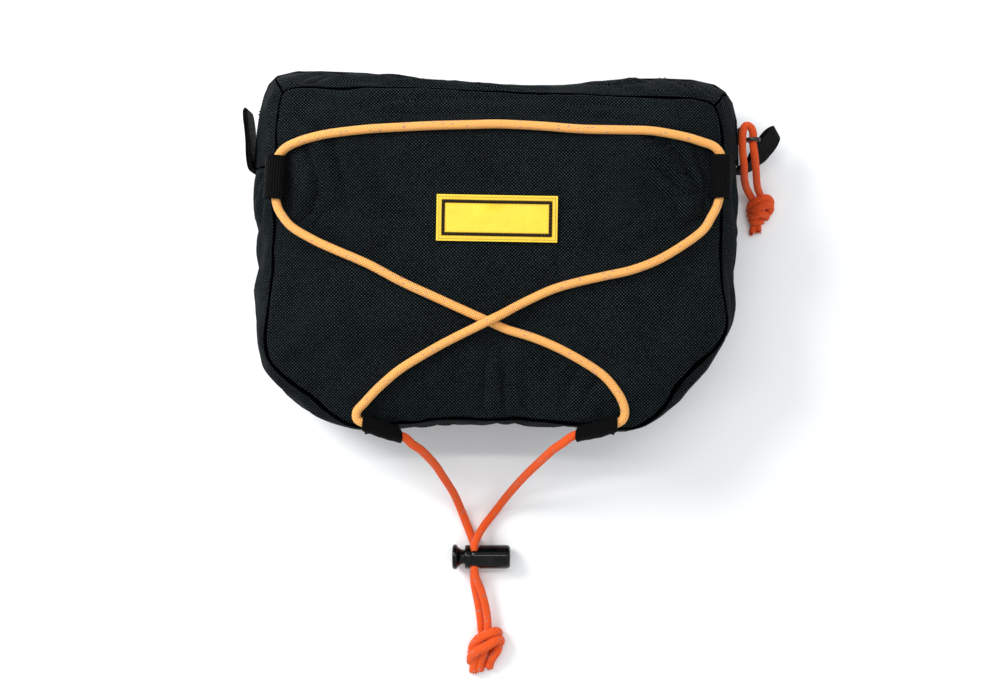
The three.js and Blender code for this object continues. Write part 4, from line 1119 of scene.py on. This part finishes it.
# Knots, in millimetres, a row for each turn of the cord: its width as a share of the cord's,
# whether it ends in a cut end that frays, and its line from where it comes out to where it goes
# under
KNOT_STEP = 0.0009
KNOT_SIDES = 16
FIBRES = 22
CUT = True
TIED = False
BUNGEE_TURNS = (
    (1.14, TIED, (
        (-14, -212.6, 3.4), (-12.8, -207.5, 6.6), (-9.3, -203.3, 9.2), (-4.8, -200.9, 10),
        (-1.2, -200.1, 8.4), (0.6, -201.4, 5.2), (0, -203.7, 2.9))),
    (1.2, TIED, (
        (-14.3, -217.7, 3), (-13.7, -213.6, 6.4), (-10.2, -209.9, 9.6), (-5.4, -207.1, 10.7),
        (-1.1, -204.7, 9.6), (1.5, -205.3, 6.2), (1, -208.8, 3.3))),
    (1.12, CUT, (
        (1, -206.6, 4.6), (0, -210.9, 6.2), (-2.3, -214.4, 5.8), (-3.8, -217.7, 3.8),
        (-4.8, -220.7, 2.7))),
    (1.12, CUT, (
        (-7.9, -207.2, 4.4), (-11.4, -213.3, 5.2), (-12.6, -218.5, 3.9), (-12.8, -223.1, 2.7))),
    (1.1, CUT, ((-4.7, -205.8, 4), (-7.2, -211.5, 6.2), (-8.8, -216.7, 4.8), (-9.8, -222.1, 2.8))),
    (1.0, TIED, ((-11.7, -205.4, 3), (-5.7, -203.5, 3.4), (-1.9, -207, 2.8), (-4.7, -214.2, 2.6))),
    (0.98, TIED, ((-8.8, -199.8, 2.9), (-8.4, -202.7, 3.6), (-8.3, -205.3, 5))),
    (0.98, TIED, ((-5.2, -199.8, 6.6), (-5.5, -202.3, 6.7), (-5.9, -204.9, 6.4))),
)
PULL_TURNS = (
    (1.1, TIED, (
        (138.9, 30, 3.2), (139.3, 33.4, 6.2), (142.7, 35.4, 8.8), (146.6, 36.3, 9),
        (149.3, 34.8, 6.8), (149.6, 31.5, 4.4))),
    (1.15, TIED, (
        (139.2, 30.8, 2.9), (140.5, 30.3, 7), (143.7, 31.6, 9.3), (147.4, 32.7, 8.8),
        (149.4, 30.8, 6), (148.1, 27.9, 3.6))),
    (1.1, TIED, (
        (139.2, 28.1, 3), (140.3, 26.8, 6.4), (143.5, 27.6, 8.3), (146.6, 27.2, 6.6),
        (147.6, 25.4, 4.1))),
    (1.0, TIED, ((139.6, 25.5, 2.8), (140.9, 23.7, 5), (143.5, 23.7, 5.6), (145.7, 24.4, 4))),
    (0.85, CUT, ((141.8, 25.6, 3.4), (141, 21.9, 3), (140.3, 18, 2.3))),
    (0.85, CUT, ((143.5, 25.5, 3.4), (143.6, 21.9, 2.8), (143.7, 19.1, 2.3))),
    (0.98, TIED, ((140.4, 35.4, 5.6), (141.8, 32.2, 5.8), (143.2, 29.8, 5))),
    (0.98, TIED, ((144, 36.6, 7.8), (144.3, 34, 7.4), (144.5, 31.1, 5.6))),
)


def flared(share):
    """A cut end spreads over its last fifth."""
    return 1.0 + 0.12 * max(0.0, share - 0.8) / 0.2


def tucked(share):
    """A tied turn is thinner where it goes under."""
    return 1.0 - 0.3 * max(0.0, abs(share - 0.5) - 0.42) / 0.08


def frayed(shape, end, way, radius, chance):
    """Short loose fibres at a cord's cut end."""
    side = way.orthogonal().normalized()
    other = way.cross(side)
    for _ in range(FIBRES):
        angle = chance.uniform(0, math.tau)
        out = chance.uniform(0, 0.85) * radius
        root = end + (side * math.cos(angle) + other * math.sin(angle)) * out
        lean = (way + (root - end) * 180 - UP * 0.12).normalized()
        length = chance.uniform(0.0008, 0.0022)
        turn = lean.to_track_quat("Z", "Y").to_matrix().to_4x4()
        bmesh.ops.create_cone(
            shape, cap_ends=True, segments=5, radius1=0.00028, radius2=0.0001, depth=length,
            matrix=Matrix.Translation(root + lean * length * 0.4) @ turn,
        )


class BAG_OT_knots(bpy.types.Operator):
    """Ties the knot below the cord lock and the knot of the zip's pull cord"""
    bl_idname = "bag.knots"
    bl_label = "Knots"

    def execute(self, context):
        sizes = context.scene.bag_sizes
        found = looks()
        chance = random.Random(7)
        for name, node, turns, width, look, slot in (
            ("cord_knot", "bungee_knot", BUNGEE_TURNS, sizes.cord_width, "tail", "bungee"),
            ("pull_knot", "zip_pull_knot", PULL_TURNS, sizes.pull_width, "pull", "pull_cord"),
        ):
            for i, (full, cut, line) in enumerate(turns):
                route = smooth_route(millimetres(line), KNOT_STEP)
                radius = width / 2 * full
                shape = cord_shape(route, radius, KNOT_SIDES, flared if cut else tucked)
                if cut:
                    way = (route[-1] - route[-2]).normalized()
                    frayed(shape, route[-1], way, radius, chance)
                piece = place(f"{name}_{i + 1}", shape, found[look])
                if i == 0:
                    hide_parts(node)
        return {"FINISHED"}


# The patch's stitches, in millimetres: from one to the next, and half their sizes
STITCH_STEP = 1.7
STITCH_SHARE = 0.92
STITCH_HALF = (0.5, 0.4)
STITCH_RISE = 0.34
STITCH_SLANT = 0.16
CHANNEL_RISE = 0.06


class BAG_OT_patch(bpy.types.Operator):
    """Makes the bare patch with its dark sewn channel and its thread"""
    bl_idname = "bag.patch"
    bl_label = "Patch"

    def execute(self, context):
        found = looks()
        sheet = node_copy("patch_sheet", "patch", found["patch"])
        edging(sheet, 0.00022, 0.6)
        finished(sheet, sharp=0.35)
        boxed_uv(sheet)
        top = surface_of(sheet.data)
        turn = Matrix.Rotation(PATCH_TURN, 3, "Z")

        def lying(point):
            """Where a point of the flat patch comes to lie on the sheet, in millimetres."""
            flat = turn @ point + PATCH_MIDDLE
            spot = top.ray_cast(Vector((flat.x * MM, flat.y * MM, 0.1)), -UP)[0]
            return Vector((flat.x, flat.y, spot.z / MM))

        across, up = (half - CHANNEL_AT for half in PATCH_HALF)
        corners = [Vector((across * x, up * y, 0)) for x, y in ((-1, -1), (1, -1), (1, 1), (-1, 1))]
        thread = bmesh.new()
        bed = bmesh.new()
        chance = random.Random(3)
        for start, end in zip(corners, corners[1:] + corners[:1]):
            way = (end - start).normalized()
            reach = way * CHANNEL_HALF
            side = UP.cross(reach)
            made = bmesh.ops.create_grid(bed, x_segments=24, y_segments=1, size=1.0)["verts"]
            for vert in made:
                share = (vert.co.x + 1) / 2
                flat = (start - reach).lerp(end + reach, share) + side * vert.co.y
                height = lying(start.lerp(end, share)).z + CHANNEL_RISE
                vert.co = Vector((*(turn @ flat + PATCH_MIDDLE).xy, height)) * MM
            length = (end - start).length
            count = round(length / STITCH_STEP)
            sizes = (STITCH_SHARE * length / count * 0.5, *STITCH_HALF)
            for i in range(count):
                spot = lying(start.lerp(end, (i + 0.5) / count)) + UP * STITCH_RISE
                slant = STITCH_SLANT + chance.uniform(-0.06, 0.06)
                angle = math.atan2(way.y, way.x) + PATCH_TURN + slant
                matrix = Matrix.Translation(spot * MM) @ Matrix.Rotation(angle, 4, "Z")
                matrix = matrix @ Matrix.Diagonal((*(size * MM for size in sizes), 1))
                bmesh.ops.create_icosphere(thread, subdivisions=2, radius=1.0, matrix=matrix)
        place("patch_thread", thread, found["thread"])
        place("patch_channel", bed, found["channel"])
        return {"FINISHED"}


# End tabs, in millimetres: the strap's line seen from above, the height of its middle, half its
# width, its lean at the tip in degrees, and half the gap in its fold at the root and at the tip
Tab = namedtuple("Tab", "spine middle half lean gap")
TABS = {
    "tab_left": Tab(
        ((-127.6, 47.4), (-128.8, 49.4), (-129.6, 55), (-129.9, 63), (-130.6, 71), (-131.6, 79.4)),
        29, 9.6, 0, (0.62, 0.85)),
    "tab_right": Tab(
        ((127.6, 50), (130.6, 50.2), (134.6, 52.8), (139.6, 58.6), (144.6, 64.6), (148.6, 69.6)),
        22, 8.4, 37, (0.7, 0.75)),
}


def tab_sections(tab):
    """A strap's lines across its width, out to the tip, over the fold and back."""
    route = smooth_route([Vector((x, y, tab.middle)) for x, y in tab.spine], 1.1)
    out, back = [], []
    for i, (point, way) in enumerate(zip(route, ways_along(route))):
        flat = UP.cross(way)
        share = i / (len(route) - 1)
        tilt = math.radians(tab.lean) * min(1.0, share * 1.8)
        across = flat * math.sin(tilt) + UP * math.cos(tilt)
        off = flat * math.cos(tilt) - UP * math.sin(tilt)
        half = tab.half * (1 - 0.3 * max(0.0, (share - 0.8) / 0.2) ** 2)
        gap = tab.gap[0] + (tab.gap[1] - tab.gap[0]) * max(0.0, share - 0.6) / 0.4
        for side, line in ((1, out), (-1, back)):
            middle = point + off * gap * side
            line.append([middle + across * half * (t / 6 - 1) for t in range(13)])
    tip = [a.lerp(b, 0.5) + way * gap for a, b in zip(out[-1], back[-1])]
    return out + [tip] + back[::-1]


class BAG_OT_tabs(bpy.types.Operator):
    """Makes the folded webbing tabs at the zip's ends"""
    bl_idname = "bag.tabs"
    bl_label = "End tabs"

    def execute(self, context):
        found = looks()
        for name, tab in TABS.items():
            shape = strap_shape(tab_sections(tab))
            layer = shape.loops.layers.uv.active
            for face in shape.faces:
                for loop in face.loops:
                    loop[layer].uv = loop[layer].uv.yx
            piece = place("end_" + name, shape, found["webbing"])
            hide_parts(name)
            thickened(piece, 0.00115, 0.0003)
        return {"FINISHED"}


# The zip's coil, in metres: its height and half width, and each tooth's half sizes, its place
# and its lean
COIL_AT = 0.03
COIL_HALF = 0.004
COIL_POINTS = 300
TOOTH_STEP = 0.0014
TOOTH_HALF = (0.00052, 0.00055, 0.0017)
TOOTH_OFF = 0.0011
TOOTH_SHIFT = 0.00035
TOOTH_SINK = 0.00015
TOOTH_LEAN = 0.35


class BAG_OT_zip(bpy.types.Operator):
    """Lays the coil's teeth on the zip and rounds its slider and puller"""
    bl_idname = "bag.zip"
    bl_label = "Zip"

    def execute(self, context):
        found = looks()
        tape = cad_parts["zip"].data
        tape.materials.clear()
        tape.materials.append(found["tape"])
        surface = surface_of(tape)
        line = outermost(tape, lambda z: abs(z - COIL_AT) < COIL_HALF, COIL_POINTS)
        route = smooth_route([Vector((point.x, point.y, COIL_AT)) for point in line], TOOTH_STEP)
        teeth = bmesh.new()
        for point, way in zip(route, ways_along(route)):
            out = way.cross(UP)
            if out.dot(point) < 0:
                out.negate()
            for side in (-1, 1):
                spot = point + (UP * TOOTH_OFF + way * TOOTH_SHIFT) * side
                face = surface.ray_cast(spot + out * 0.006, -out)[0]
                spot = (face or spot) - out * TOOTH_SINK
                axis = (UP + way * TOOTH_LEAN * side).normalized()
                turn = Matrix((out.cross(axis).normalized(), out, axis)).transposed().to_4x4()
                matrix = Matrix.Translation(spot) @ turn @ Matrix.Diagonal((*TOOTH_HALF, 1))
                bmesh.ops.create_icosphere(teeth, subdivisions=1, radius=1.0, matrix=matrix)
        place("zip_teeth", teeth, found["teeth"])
        for name, width in (("slider", 0.0007), ("puller", 0.0002)):
            piece = node_copy(name, "zip_" + name, found["metal"])
            edging(piece, width, 0.7, segments=3)
            finished(piece, sharp=0.8)
        return {"FINISHED"}


class BAG_PT_panel(bpy.types.Panel):
    """Lists the steps that build the bag, and its sizes and colours"""
    bl_label = "Handlebar bag"
    bl_space_type = "VIEW_3D"
    bl_region_type = "UI"
    bl_category = "Handlebar bag"

    def draw(self, context):
        for step in STEPS:
            self.layout.operator(step.bl_idname)
        for group in SETTINGS:
            settings = getattr(context.scene, group)
            for key in settings.bl_rna.properties.keys():
                if key not in ("rna_type", "name"):
                    self.layout.prop(settings, key)


STEPS = (
    BAG_OT_stage, BAG_OT_cord_lock, BAG_OT_knots, BAG_OT_cords, BAG_OT_body, BAG_OT_seams,
    BAG_OT_loops, BAG_OT_patch, BAG_OT_tabs, BAG_OT_zip,
)
SETTINGS = {"bag_sizes": BagSizes, "bag_colours": BagColours, "stage_settings": StageSettings}
CLASSES = (*SETTINGS.values(), *STEPS, BAG_PT_panel)


def register():
    for made in CLASSES:
        bpy.utils.register_class(made)
    for name, group in SETTINGS.items():
        setattr(bpy.types.Scene, name, bpy.props.PointerProperty(type=group))


def unregister():
    for name in SETTINGS:
        delattr(bpy.types.Scene, name)
    for made in reversed(CLASSES):
        bpy.utils.unregister_class(made)


def main():
    register()
    for step in STEPS:
        group, name = step.bl_idname.split(".")
        getattr(getattr(bpy.ops, group), name)()


if __name__ == "__main__":
    main()
